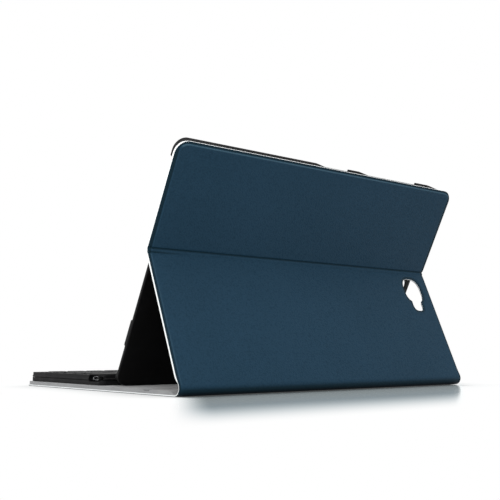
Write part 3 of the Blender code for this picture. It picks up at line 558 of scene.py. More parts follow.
FINISH = {
    "navy_leather": navy_leather(),
    "pale_edge": napped("pale_cut_edge", (0.84, 0.86, 0.86), (0.93, 0.95, 0.95), spread=(0.35, 0.65),
                        rough=(0.7, 0.9), fibres=3200.0, strokes=120.0, bump=0.3, depth=0.0002,
                        Specular_IOR_Level=0.3),
    "grey_lining": napped("grey_lining", (0.215, 0.218, 0.222), (0.315, 0.318, 0.322), spread=(0.3, 0.7),
                          rough=(0.85, 0.97), fibres=2200.0, strokes=55.0, bump=0.5, depth=0.0003,
                          Specular_IOR_Level=0.2, Sheen_Weight=0.25, Sheen_Roughness=0.5),
    "black_shell": moulded_black("black_shell", (0.0026, 0.0026, 0.0028), (0.0044, 0.0044, 0.0047),
                                 rough=0.48, grain=2400.0, bump=0.25, specular=0.13, tint=1.0),
    "black_housing": moulded_black("black_housing", (0.0050, 0.0050, 0.0053), (0.0085, 0.0085, 0.0090),
                                   rough=0.48, grain=2600.0, bump=0.3, specular=0.10, tint=0.6),
    "black_key": moulded_black("black_key", (0.0045, 0.0045, 0.0048), (0.0075, 0.0075, 0.0080),
                               rough=0.42, grain=3000.0, bump=0.2, specular=0.2, tint=0.7),
    "white_legend": white_legend(),
    "bright_metal": plain_finish("bright_metal", (0.52, 0.52, 0.54), (0.64, 0.64, 0.66),
                                 rough=0.22, grain=1500.0, bump=0.1, metallic=1.0),
    "silver_wrap": plain_finish("silver_wrap", (0.38, 0.39, 0.41), (0.50, 0.51, 0.53),
                                rough=0.32, grain=600.0, bump=0.2, metallic=0.6),
    "green_board": plain_finish("green_board", (0.006, 0.07, 0.03), (0.012, 0.11, 0.05),
                                rough=0.4, grain=700.0, bump=0.2),
    "grey_rubber": plain_finish("grey_rubber", (0.09, 0.09, 0.09), (0.14, 0.14, 0.14),
                                rough=0.75, grain=1800.0, bump=0.4, specular=0.3),
    "clear_lens": plain_finish("clear_lens", (0.38, 0.45, 0.52), (0.52, 0.60, 0.68),
                               rough=0.12, grain=3000.0, bump=0.05),
}


# Mesh helpers
def placed(name, data):
    """A new object in the scene."""
    obj = bpy.data.objects.new(name, data)
    bpy.context.scene.collection.objects.link(obj)
    return obj


def linked(name, mesh, *finishes):
    """A piece with its finishes; each face keeps its own material index."""
    obj = placed(name, mesh)
    indices = [face.material_index for face in mesh.polygons]
    mesh.materials.clear()
    for finish in finishes:
        mesh.materials.append(FINISH[finish])
    mesh.polygons.foreach_set("material_index", indices)
    return obj


def smooth(mesh, angle=35):
    mesh.shade_smooth()
    mesh.set_sharp_from_angle(angle=radians(angle))


def applied(obj):
    """The object with its modifiers made part of its mesh."""
    graph = bpy.context.evaluated_depsgraph_get()
    mesh = bpy.data.meshes.new_from_object(obj.evaluated_get(graph))
    obj.modifiers.clear()
    old = obj.data
    obj.data = mesh
    bpy.data.meshes.remove(old)
    mesh.name = obj.name
    return obj


def cut(obj, *meshes):
    """Takes closed meshes out of the object, one after another."""
    cutters = []
    for mesh in meshes:
        cutter = placed("cutter", mesh)
        cutters.append(cutter)
        modifier = obj.modifiers.new("cut", "BOOLEAN")
        modifier.object = cutter
        modifier.operation = "DIFFERENCE"
    applied(obj)
    for cutter in cutters:
        mesh = cutter.data
        bpy.data.objects.remove(cutter)
        bpy.data.meshes.remove(mesh)
    return obj


def mesh_from(name, points, faces):
    mesh = bpy.data.meshes.new(name)
    mesh.from_pydata([tuple(point) for point in points], [], [tuple(face) for face in faces])
    work = bmesh.new()
    work.from_mesh(mesh)
    bmesh.ops.recalc_face_normals(work, faces=work.faces)
    work.to_mesh(mesh)
    work.free()
    return mesh


def joined_mesh(name, meshes):
    """Several meshes in one, each keeping its own material index."""
    work = bmesh.new()
    for mesh in meshes:
        work.from_mesh(mesh)
        bpy.data.meshes.remove(mesh)
    result = bpy.data.meshes.new(name)
    work.to_mesh(result)
    work.free()
    return result


def arc(centre, radius, start, end, steps):
    turns = [start + (end - start) * step / steps for step in range(steps + 1)]
    return [(centre[0] + radius * cos(turn), centre[1] + radius * sin(turn)) for turn in turns]


def quarter_round(radius, steps):
    """How far in and how far down the points of a rounded edge lie, from its side to its top."""
    turns = [pi / 2 * step / steps for step in range(steps + 1)]
    return [(radius * (1 - cos(turn)), radius * (1 - sin(turn))) for turn in turns]


def rounded_outline(x0, x1, y0, y1, radius, steps):
    corners = [((x1 - radius, y1 - radius), 0), ((x0 + radius, y1 - radius), pi / 2),
               ((x0 + radius, y0 + radius), pi), ((x1 - radius, y0 + radius), 1.5 * pi)]
    outline = []
    for centre, start in corners:
        outline += arc(centre, radius, start, start + pi / 2, steps)
    return outline


def rounded_box(half_x, half_y, radius, steps, inset=0.0):
    """A rounded outline about the origin, drawn in by an inset."""
    return rounded_outline(-half_x + inset, half_x - inset, -half_y + inset, half_y - inset, radius, steps)


def level_ring(outline, height):
    return [(x, y, height) for x, y in outline]


def round_pairs(count):
    """Each index with the one after it, round a closed ring."""
    return [(index, (index + 1) % count) for index in range(count)]


def lofted(name, rings):
    """A closed mesh through rings of equal length, each a list of points."""
    count = len(rings[0])
    points = [point for ring in rings for point in ring]
    faces = []
    for low in range(0, len(points) - count, count):
        high = low + count
        faces += [(low + here, low + after, high + after, high + here) for here, after in round_pairs(count)]
    faces.append(tuple(range(count))[::-1])
    faces.append(tuple(range(len(points) - count, len(points))))
    return mesh_from(name, points, faces)


def prism(name, outline, low, high):
    return lofted(name, [level_ring(outline, low), level_ring(outline, high)])


def smoothstep(value):
    value = np.clip(value, 0.0, 1.0)
    return value * value * (3 - 2 * value)


def filled(stops, gap):
    """The stops in order, with points added wherever two lie further apart than the gap."""
    stops = sorted(set(round(stop, 7) for stop in stops))
    result = [stops[0]]
    for stop in stops[1:]:
        pieces = max(1, int(np.ceil((stop - result[-1]) / gap - 1e-6)))
        start = result[-1]
        result += [start + (stop - start) * piece / pieces for piece in range(1, pieces + 1)]
    return result


# Panel frames: points are given across the case, up the panel and in from the axis
def panel_matrix(axis, turn):
    return Matrix(((1, 0, 0, axis.x), (0, cos(turn), -sin(turn), axis.y), (0, sin(turn), cos(turn), axis.z),
                   (0, 0, 0, 1)))


KICKSTAND_FRAME = panel_matrix(REAR_AXIS, KICKSTAND_TURN)
UPPER_FRAME = panel_matrix(MIDDLE_AXIS, UPPER_TURN)


def lobe_point(middle, radius, turn):
    """A point on one of the window's squarish lobes."""
    power = 2 / LOBE_SQUARENESS
    return (middle[0] + radius * copysign(abs(cos(turn)) ** power, cos(turn)),
            middle[1] + radius * copysign(abs(sin(turn)) ** power, sin(turn)))


def lobe_distance(x, y, middle, radius):
    """How far outside a lobe a point lies."""
    power = LOBE_SQUARENESS
    return (np.abs(x - middle[0]) ** power + np.abs(y - middle[1]) ** power) ** (1 / power) - radius


def lobe_exit(lobe, inside, other):
    """The turn at which a lobe's outline leaves the other lobe, on its right side."""
    outside = 0.0
    for _ in range(EXIT_HALVINGS):
        halfway = (inside + outside) / 2
        if lobe_distance(*lobe_point(*lobe, halfway), *other) < 0:
            inside = halfway
        else:
            outside = halfway
    return outside


def window_lobes(fold, grow=0.0):
    """Middle and radius of the large and the small lobe, below a fold at this height of its panel."""
    return [((WINDOW_X, fold - drop), radius + grow) for radius, drop in (LARGE_LOBE, SMALL_LOBE)]


def window_outline(fold, grow):
    """The camera window as one outline round both lobes."""
    large, small = window_lobes(fold, grow)
    large_exit = lobe_exit(large, -pi / 2, small)
    small_exit = lobe_exit(small, pi / 2, large)
    stretches = ((large, large_exit, pi - large_exit), (small, pi - small_exit, 2 * pi + small_exit))
    outline = []
    for lobe, first, last in stretches:
        turns = [first + (last - first) * step / LOBE_STEPS for step in range(LOBE_STEPS)]
        outline += [lobe_point(*lobe, turn) for turn in turns]
    return outline


def window_distance(x, up):
    """How far outside the kickstand's camera window a point lies."""
    return np.minimum(*(lobe_distance(x, up, *lobe) for lobe in window_lobes(KICKSTAND_SPAN)))


# Folio sheets
def path_arrays(path):
    """Run lengths, places and outward normals of the folio's outer line in Y and Z, as arrays."""
    return [np.array(column) for column in zip(*path)]


ROLL_STOPS = [inset for inset, _ in quarter_round(EDGE_ROLL, steps=5)]
BORDER_STOPS = [BORDER + BORDER_STEP * step / 8 for step in range(-3, 10)]
NARROW_STOPS = [stop / NARROWING for stop in BORDER_STOPS]
EDGE_STOPS = ROLL_STOPS + BESIDE_ROLL + NARROW_STOPS + BORDER_STOPS + INSIDE_BORDER
CORNER_STOPS = [inset for inset, _ in quarter_round(CORNER, steps=18)]
FLOOR_RUN = ARC_Y - CASE_FRONT
ARC_RUN = REAR_RADIUS * KICKSTAND_TURN
KICK_START = FLOOR_RUN + ARC_RUN
LOWER_RUN = KICK_START + KICKSTAND_HIGH - REAR_REACH
WINDOW_STOPS = [KICKSTAND_SPAN - SMALL_LOBE[1] - SMALL_LOBE[0] - WINDOW_BELOW, KICKSTAND_HIGH]


def lower_path():
    """Front cover, spine, rear fold and kickstand, from the front edge to the middle fold."""
    path = []
    stops = EDGE_STOPS + CORNER_STOPS + [FLOOR_RUN, KICK_START, LOWER_RUN]
    for fold in FRONT_FOLD:
        stops += [fold - CASE_FRONT + step * FOLD_STEP for step in range(-6, 7)]
    stops += [FLOOR_RUN + ARC_RUN * step / REAR_FOLD_STEPS for step in range(REAR_FOLD_STEPS + 1)]
    for step in range(BESIDE_FOLD_STEPS):
        stops += [FLOOR_RUN - FOLD_STEP * step, KICK_START + FOLD_STEP * step]
    low, high = (KICK_START - REAR_REACH + stop for stop in WINDOW_STOPS)
    stops += list(np.arange(low, high, WINDOW_STEP))
    for run in filled([stop for stop in stops if stop <= LOWER_RUN], WIDE_GAP):
        if run <= FLOOR_RUN:
            path.append((run, (CASE_FRONT + run, 0.0), (0.0, -1.0)))
        elif run <= KICK_START:
            turn = (run - FLOOR_RUN) / REAR_RADIUS
            place = (ARC_Y + REAR_RADIUS * sin(turn), REAR_RADIUS * (1 - cos(turn)))
            path.append((run, place, (sin(turn), -cos(turn))))
        else:
            place = KICKSTAND_FRAME @ Vector((0, run - KICK_START + REAR_REACH, -REAR_DROP))
            path.append((run, (place.y, place.z), (sin(KICKSTAND_TURN), -cos(KICKSTAND_TURN))))
    return path_arrays(path)


FOLD_FILLET = CREASE_REACH / tan(FOLD_BEND / 2)
FOLD_START = KICKSTAND_SPAN - KICKSTAND_HIGH - CREASE_REACH
FOLD_ARC = FOLD_FILLET * FOLD_BEND
UPPER_START = FOLD_START + FOLD_ARC
UPPER_RUN = UPPER_START + UPPER_HIGH - CREASE_REACH


def upper_path():
    """Middle fold and upper panel, from the kickstand's end to the top edge."""
    path = []
    stops = [UPPER_RUN - stop for stop in EDGE_STOPS + CORNER_STOPS]
    stops += [FOLD_START, UPPER_START]
    stops += list(np.arange(0, UPPER_START + MIDDLE_FOLD_PAST, MIDDLE_FOLD_STEP))
    kick_normal = Vector((0, sin(KICKSTAND_TURN), -cos(KICKSTAND_TURN)))
    fillet_start = KICKSTAND_FRAME @ Vector((0, KICKSTAND_HIGH + FOLD_START, -REAR_DROP))
    centre = fillet_start + kick_normal * FOLD_FILLET
    for run in filled(stops, WIDE_GAP):
        if run <= FOLD_START:
            place = KICKSTAND_FRAME @ Vector((0, KICKSTAND_HIGH + run, -REAR_DROP))
            path.append((run, (place.y, place.z), (kick_normal.y, kick_normal.z)))
        elif run <= UPPER_START:
            turn = KICKSTAND_TURN - (run - FOLD_START) / FOLD_FILLET
            normal = (sin(turn), -cos(turn))
            place = (centre.y - FOLD_FILLET * normal[0], centre.z - FOLD_FILLET * normal[1])
            path.append((run, place, normal))
        else:
            place = UPPER_FRAME @ Vector((0, run - UPPER_START + CREASE_REACH, 0))
            path.append((run, (place.y, place.z), (sin(UPPER_TURN), -cos(UPPER_TURN))))
    return path_arrays(path)


def columns(gap, extra=()):
    stops = [side * (HALF_WIDTH - stop) for side in (-1, 1) for stop in EDGE_STOPS]
    return np.array(filled(stops + list(extra), gap))


def half_widths(end_distance, inset):
    """The sheet's half width at each distance from its rounded end, drawn in by an inset."""
    radius = CORNER - inset
    reach = np.clip(CORNER - end_distance, 0, radius)
    return HALF_WIDTH - CORNER + np.sqrt(radius ** 2 - reach ** 2)


def spread(base, end_distance, inset):
    """Places of the columns across the sheet, drawn in by an inset and along the rounded end."""
    return base[None, :] / HALF_WIDTH * half_widths(end_distance, inset)[:, None]


def edge_distance(x, end_distance):
    """Distance in from the sides and from the rounded end."""
    side = HALF_WIDTH - np.abs(x)
    end = end_distance[:, None] + 0 * x
    in_corner = (side < CORNER) & (end < CORNER)
    rounded_distance = CORNER - np.hypot(CORNER - side, CORNER - end)
    return np.where(in_corner, rounded_distance, np.minimum(side, end))


def fold_thickness(runs, folds, full):
    """Sheet thickness along the run: full on the panels, ramped to thin between the ends of each fold."""
    thickness = 0 * runs + full
    for start, end, thin, ramp in folds:
        inside = np.minimum(runs - start, end - runs) / ramp + 1
        thickness = np.minimum(thickness, full - (full - thin) * smoothstep(inside))
    return thickness


def sheet_mesh(name, path, x, outer, inner, press=None):
    """A closed sheet along the path; x, outer and inner are grids of places and of offsets from its line."""
    _, places, normals = path
    rows, count = x.shape
    layers = []
    for offset in (outer, inner):
        y = places[:, 0, None] + offset * normals[:, 0, None]
        z = places[:, 1, None] + offset * normals[:, 1, None]
        layers.append(np.stack([x, y, z], axis=2).reshape(-1, 3))
    points = np.concatenate(layers)
    size = rows * count
    faces = []
    for row in range(rows - 1):
        for column in range(count - 1):
            first = row * count + column
            quad = (first, first + 1, first + count + 1, first + count)
            faces.append(quad)
            faces.append(tuple(size + index for index in quad[::-1]))
    rim = list(range(count))
    rim += [row * count + count - 1 for row in range(1, rows)]
    rim += [(rows - 1) * count + column for column in range(count - 2, -1, -1)]
    rim += [row * count for row in range(rows - 2, 0, -1)]
    for start, end in ((rim[here], rim[after]) for here, after in round_pairs(len(rim))):
        faces.append((start, size + start, size + end, end))
    mesh = mesh_from(name, points, faces)
    # The press values hold the pressed border's tone, painted shade in the creases and down the rear fold,
    # and, below zero, the painted highlight on the ridge
    if press is not None:
        layer = mesh.attributes.new("press", "FLOAT", "POINT")
        values = np.concatenate([press.ravel(), np.zeros(size)]).astype(np.float32)
        layer.data.foreach_set("value", values)
    return mesh


def sheet_layer(name, finish, path, x, outer, inner, press=None):
    """One layer of the folio; its offsets are grids or one value for each row."""
    return linked(name, sheet_mesh(name, path, x, outer + 0 * x, inner + 0 * x, press), finish)


def pressed(distance, border, depth, roll=EDGE_ROLL, ridge_highlight=SIDE_RIDGE_HIGHLIGHT):
    """Offset and tone mark of the border beside a rolled edge: dark where pressed, with a painted highlight
    on the ridge inside.
    """
    step = smoothstep((distance - border) / BORDER_STEP)
    reach = np.clip(roll - distance, 0, roll)
    rolled = roll - np.sqrt(np.maximum(roll ** 2 - reach ** 2, 0))
    dark = 1 - smoothstep((distance - border + BORDER_SHADE_LEAD) / BORDER_SHADE_RAMP)
    light = ridge_highlight * np.exp(-((distance - border - BORDER_STEP) / RIDGE_HIGHLIGHT_WIDTH) ** 2)
    return -depth * (1 - step) - rolled, dark - light


def cut_window(obj, grow):
    """Cuts the camera window through a layer; a larger cut is also shifted to the window's end."""
    mesh = prism("window", window_outline(KICKSTAND_SPAN, grow), *WINDOW_CUT)
    mesh.transform(KICKSTAND_FRAME @ Matrix.Translation((-2 * grow, 0, 0)))
    return cut(obj, mesh)


def build_lower_folio():
    """Leather, pale core and lining of cover, spine, rear fold and kickstand."""
    path = lower_path()
    runs = path[0]
    base = columns(WIDE_GAP, np.arange(WINDOW_X - WINDOW_BESIDE, WINDOW_X + WINDOW_BESIDE, WINDOW_STEP))
    folds = [(FRONT_FOLD[0] - CASE_FRONT, FRONT_FOLD[1] - CASE_FRONT, FOLD_PANEL, FOLD_RAMP),
             (FLOOR_RUN - FOLD_OVERLAP, KICK_START + FOLD_OVERLAP, REAR_FOLD_PANEL, REAR_FOLD_RAMP),
             (LOWER_RUN - JOIN_OVERLAP, LOWER_RUN + PAST_END, FOLD_PANEL, FOLD_RAMP)]
    thickness = fold_thickness(runs, folds, PANEL)[:, None]
    standing = smoothstep((runs - KICK_START) / STANDING_RUN)[:, None]

    def rising(on_floor, upright):
        return on_floor + (upright - on_floor) * standing

    skin = rising(FLOOR_LEATHER, LEATHER)
    core_depth = np.minimum(rising(FLOOR_CORE, CORE), thickness - LINING)
    x = spread(base, runs, 0.0)
    border_depth = rising(FLOOR_BORDER_DEPTH, BORDER_DEPTH)
    edge_roll = rising(FLOOR_EDGE_ROLL, EDGE_ROLL)
    distance = NARROWING * edge_distance(x, runs)
    # Painted highlight on the ridge inside the border, at the kickstand's strength all round
    outer, press = pressed(distance, BORDER, border_depth, edge_roll, KICKSTAND_RIDGE_HIGHLIGHT)
    up = runs[:, None] - KICK_START + REAR_REACH
    window_gap = np.where(up > WINDOW_LOWEST, window_distance(x, up), 1.0)
    window_outer, window_press = pressed(np.maximum(window_gap, EDGE_ROLL), WINDOW_BORDER, BORDER_DEPTH / 2,
                                         ridge_highlight=0.0)
    outer = np.minimum(outer, window_outer)
    press = np.where(window_press > SHADE_START, np.maximum(press, window_press), press)
    # Painted shade down the rear fold's arc, darkest at its foot on the floor
    up_fold = (runs - FLOOR_RUN) / ARC_RUN
    fold_shade = DEEP_SHADE * smoothstep((REAR_SHADE_TOP - up_fold) / REAR_SHADE_RAMP)[:, None]
    press = np.where(fold_shade > 0.0, np.maximum(press, fold_shade), press)
    leather = sheet_layer("folio_leather_lower", "navy_leather", path, x, outer, -skin, press)
    core = sheet_layer("folio_core_lower", "pale_edge", path, spread(base, runs, CORE_INSET),
                       -skin - LAYER_GAP, -core_depth)
    lining = sheet_layer("folio_lining_lower", "grey_lining", path, spread(base, runs, LINING_INSET),
                         -core_depth - LAYER_GAP, -thickness)
    for obj, grow in ((leather, 0.0), (core, WINDOW_SETBACK), (lining, LINING_INSET)):
        cut_window(obj, grow)
        smooth(obj.data)
        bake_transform(obj)
    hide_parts("front_cover_skin", "front_fold_strip", "spine_skin", "rear_fold_strip",
                "kickstand_skin")
    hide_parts("front_cover_board", "spine_board", "kickstand_board")
    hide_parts("front_cover_lining", "spine_lining", "kickstand_lining")


def wrinkles(x, runs):
    """Uneven small folds of the leather along the middle fold, between -1 and 1."""
    total = 0 * x
    for across, shift, along in WRINKLE_WAVES:
        wander = WAVE_WANDER * np.sin(WANDER_TURN * x + shift)
        total = total + np.sin(across * x + along * runs[:, None] + shift + wander)
    return total / len(WRINKLE_WAVES)


def build_upper_folio():
    """Leather and pale core of the middle fold and the upper panel."""
    path = upper_path()
    runs = path[0]
    base = columns(UPPER_GAP)
    end_distance = UPPER_RUN - runs
    x = spread(base, end_distance, 0.0)
    folding = wrinkles(x, runs)
    # Painted highlight on the ridge: stronger along the top edge, where light falls from above, than along
    # the sides
    highlight_at_top = smoothstep((HALF_WIDTH - np.abs(x) - end_distance[:, None]) / TOP_HIGHLIGHT_TURN + 0.5)
    outer, press = pressed(edge_distance(x, NARROWING * end_distance), BORDER, BORDER_DEPTH,
                           ridge_highlight=SIDE_RIDGE_HIGHLIGHT + (1 - SIDE_RIDGE_HIGHLIGHT) * highlight_at_top)
    upper_crease = np.exp(-((runs - UPPER_START - CREASE_OFFSET) / CREASE_WIDTH) ** 2)[:, None]
    lower_crease = np.exp(-((runs - FOLD_START + CREASE_OFFSET) / LOWER_CREASE_WIDTH) ** 2)[:, None]
    near_end = smoothstep((x - LOWER_CREASE_FROM) / LOWER_CREASE_RAMP)
    lower_share = FAINT_CREASE + (1 - FAINT_CREASE) * near_end + 0.5 * FAINT_CREASE * folding
    creases = np.maximum(upper_crease, lower_crease * lower_share)
    inside = smoothstep((runs - FOLD_START) / BAND_RAMP) * smoothstep((UPPER_START - runs) / BAND_RAMP)
    band = inside[:, None]
    outer = outer - CREASE_DEPTH * creases + BAND_RISE * band
    outer = outer + WRINKLE * folding * (band + CREASE_WRINKLE * creases)
    # Painted shade in the creases: they take the pressed border's dark tone
    press = np.where(creases > SHADE_START, np.maximum(press, creases), press)
    sunk = CREASE_SINK * np.maximum(upper_crease, lower_crease)
    leather = sheet_layer("folio_leather_upper", "navy_leather", path, x, outer, -LEATHER - sunk, press)
    folds = [(-PAST_END, UPPER_START + JOIN_OVERLAP, FOLD_PANEL, FOLD_RAMP)]
    thickness = fold_thickness(runs, folds, UPPER_PANEL)[:, None]
    along = UPPER_FRAME.to_3x3() @ Vector((0, 1, 0))
    trim = CORE_TRIM * smoothstep((runs - UPPER_RUN + CORE_TRIM_RUN) / CORE_TRIM_RUN)
    core_path = (runs, path[1] - trim[:, None] * np.array([along.y, along.z]), path[2])
    core = sheet_layer("folio_core_upper", "pale_edge", core_path, spread(base, end_distance, CORE_INSET),
                       -LEATHER - LAYER_GAP - sunk, -thickness - sunk)
    for obj in (leather, core):
        smooth(obj.data)
        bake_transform(obj)
    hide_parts("upper_back_skin", "middle_fold_strip")
    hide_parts("upper_back_board")


# Tablet shell
def lowest_of_shell():
    """How far down the upper panel's own frame the shell's solid reaches."""
    into_panel = UPPER_FRAME.inverted()
    return min((into_panel @ vertex.co).y for vertex in frame["nodes"]["tablet_shell"].data.vertices)


SHELL_BOTTOM = lowest_of_shell()


def wall_height(position, breaks):
    """Height of the shell's wall at a place along one side: low in a break, with ramps at its ends."""
    height = SHELL_RISE
    for low, high, rise, low_ramp, high_ramp in breaks:
        share = max((low - position) / low_ramp, (position - high) / high_ramp, 0.0)
        height = min(height, rise + (SHELL_RISE - rise) * min(share, 1.0))
    return height


def shell_rim():
    """Points round the shell's outline: place, outward direction and wall height."""
    half, low, high, radius = SHELL_HALF, SHELL_BOTTOM, SHELL_TOP, SHELL_CORNER
    rim = []
    sides = [
        ((half, low + radius), (half, high - radius), (1, 0), SIDE_BREAKS, 1),
        ((half - radius, high), (-half + radius, high), (0, 1), TOP_BREAKS, 0),
        ((-half, high - radius), (-half, low + radius), (-1, 0), SIDE_BREAKS, 1),
        ((-half + radius, low), (half - radius, low), (0, -1), BOTTOM_BREAKS, 0),
    ]
    for here, after in round_pairs(len(sides)):
        start, end, out, breaks, along = sides[here]
        next_start, _, next_out, next_breaks, next_along = sides[after]
        count = int(hypot(end[0] - start[0], end[1] - start[1]) / SHELL_STEP)
        for number in range(count):
            share = number / count
            place = (start[0] + (end[0] - start[0]) * share, start[1] + (end[1] - start[1]) * share)
            rim.append((place, out, wall_height(place[along], breaks)))
        centre = (end[0] - out[0] * radius, end[1] - out[1] * radius)
        first = wall_height(end[along], breaks)
        last = wall_height(next_start[next_along], next_breaks)
        for number in range(SHELL_CORNER_STEPS):
            turn = pi / 2 * number / SHELL_CORNER_STEPS
            way = (out[0] * cos(turn) + next_out[0] * sin(turn), out[1] * cos(turn) + next_out[1] * sin(turn))
            place = (centre[0] + radius * way[0], centre[1] + radius * way[1])
            rim.append((place, way, first + (last - first) * float(smoothstep(number / SHELL_CORNER_STEPS))))
    return rim


def wall_section(height):
    """The wall's section from the back, up the outside, over the rim and down to the tray floor."""
    tall = min(1.0, max(0.0, (height - LIP_START) / (SHELL_RISE - LIP_START)))
    lip = SHELL_LIP * tall
    rim_round = min(SHELL_RIM_ROUND, (height - SHELL_BACK) * RIM_ROUND_SHARE)
    floor_round = min(SHELL_FLOOR_ROUND, (height - SHELL_BACK) * FLOOR_ROUND_SHARE)
    inner_round = rim_round / 2
    inner = SHELL_WALL + lip
    under = max(height - inner_round - SHELL_LIP_RISE * tall, SHELL_BACK + floor_round)
    section = [(inset, rise) for rise, inset in quarter_round(SHELL_BOTTOM_ROUND, steps=6)]
    section += [(0, SHELL_BOTTOM_ROUND + (height - rim_round - SHELL_BOTTOM_ROUND) / 2)]
    section += [(inset, height - drop) for inset, drop in quarter_round(rim_round, steps=4)]
    section += [(inner - inset, height - drop) for drop, inset in quarter_round(inner_round, steps=3)]
    section += [(inner, under), (SHELL_WALL, max(under - lip, SHELL_BACK + floor_round))]
    hollow = quarter_round(floor_round, steps=4)
    return section + [(SHELL_WALL + inset, SHELL_BACK + rise) for inset, rise in hollow]


def build_tablet_shell():
    """The moulded tray: a wall swept round the outline, a back plate and the camera window through it."""
    rings = [[(place[0] - out[0] * inset, place[1] - out[1] * inset, SHELL_LOW + rise)
              for inset, rise in wall_section(height)] for place, out, height in shell_rim()]
    pairs = round_pairs(len(rings))
    last = len(rings[0]) - 1
    work = bmesh.new()
    grid = [[work.verts.new(point) for point in ring] for ring in rings]
    for first, second in ((grid[here], grid[after]) for here, after in pairs):
        for level in range(last):
            work.faces.new((first[level], second[level], second[level + 1], first[level + 1]))
    window = window_outline(0, -SHELL_WINDOW_INSET)
    holes = []
    for level, height in ((0, SHELL_LOW), (last, SHELL_LOW + SHELL_BACK)):
        hole = [work.verts.new((x, y, height)) for x, y in window]
        edges = [work.edges.new((hole[here], hole[after])) for here, after in round_pairs(len(hole))]
        edges += [work.edges.get((grid[here][level], grid[after][level])) for here, after in pairs]
        bmesh.ops.triangle_fill(work, use_beauty=True, edges=edges)
        holes.append(hole)
    low, high = holes
    for here, after in round_pairs(len(window)):
        work.faces.new((low[here], low[after], high[after], high[here]))
    bmesh.ops.recalc_face_normals(work, faces=work.faces)
    mesh = bpy.data.meshes.new("tablet_shell_moulding")
    work.to_mesh(mesh)
    work.free()
    mesh.transform(UPPER_FRAME)
    smooth(mesh, angle=40)
    shell = linked("tablet_shell_moulding", mesh, "black_shell")
    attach(shell, "tablet_back")
    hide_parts("tablet_shell")


# Keyboard
def key_places():
    """Each key's name, legend, middle and size on the deck."""
    unit = 2 * (KEYBOARD_HALF - KEY_END_MARGIN) / sum(row[1] for row in KEY_ROWS[-1])
    low = -KEYBOARD_DEEP + KEY_FRONT_MARGIN
    row_pitch = (HUMP_FRONT - KEY_REAR_MARGIN - TOP_ROW_PITCH - low) / len(KEY_ROWS[:-1])
    for row in KEY_ROWS:
        pitch = TOP_ROW_PITCH if row is KEY_ROWS[-1] else row_pitch
        x = -KEYBOARD_HALF + KEY_END_MARGIN
        for name, units, legend in row:
            width = units * unit
            yield name, legend, (x + width / 2, low + pitch / 2), (width - KEY_SPACING, pitch - KEY_SPACING)
            x += width
        low += pitch


def cap_mesh(name, width, depth, low):
    """A key cap about its own middle: drawn-in sides, a rounded top edge and a shallow dish."""
    levels = [(0, low), (KEY_TAPER / 2, (low + KEY_HIGH) / 2)]
    levels += [(KEY_TAPER + inset, KEY_HIGH - drop) for inset, drop in quarter_round(KEY_ROUND, steps=3)]
    narrow = min(width, depth) / 2
    inner = narrow - KEY_TAPER - KEY_ROUND
    for share in (0.25, 0.5, 0.75):
        levels.append((KEY_TAPER + KEY_ROUND + inner * share, KEY_HIGH - KEY_DISH * (1 - (1 - share) ** 2)))
    rings = []
    for inset, height in levels:
        corner = min(max(KEY_CORNER - inset, SMALLEST_CORNER), narrow - inset - CORNER_CLEARANCE)
        rings.append(level_ring(rounded_box(width / 2, depth / 2, corner, CORNER_STEPS, inset), height))
    return lofted(name, rings)


def legend_mesh(text):
    """Flat lettering about the middle of a key's top."""
    curve = bpy.data.curves.new("legend", "FONT")
    curve.body = text
    curve.size = LETTER_SIZE if len(text) == 1 else WORD_SIZE
    curve.align_x = "CENTER"
    curve.align_y = "CENTER"
    curve.resolution_u = 3
    guide = placed("legend", curve)
    graph = bpy.context.evaluated_depsgraph_get()
    mesh = bpy.data.meshes.new_from_object(guide.evaluated_get(graph))
    bpy.data.objects.remove(guide)
    bpy.data.curves.remove(curve)
    mesh.transform(Matrix.Translation((0, 0, KEY_HIGH - KEY_DISH + LEGEND_LIFT)))
    for face in mesh.polygons:
        face.material_index = 1
    return mesh


def build_moving_keys(places):
    for name, legend, middle, size in places:
        node = "key_" + name
        if node not in frame["nodes"]:
            continue
        cap = cap_mesh(node, *size, KEY_LOW)
        smooth(cap, angle=50)
        parts = [cap] + ([legend_mesh(legend)] if legend else [])
        mesh = joined_mesh(node + "_cap", parts)
        mesh.transform(Matrix.Translation(KEYBOARD + Vector((*middle, 0))))
        obj = linked(node + "_cap", mesh, "black_key", "white_legend")
        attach(obj, node)
        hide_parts(node)


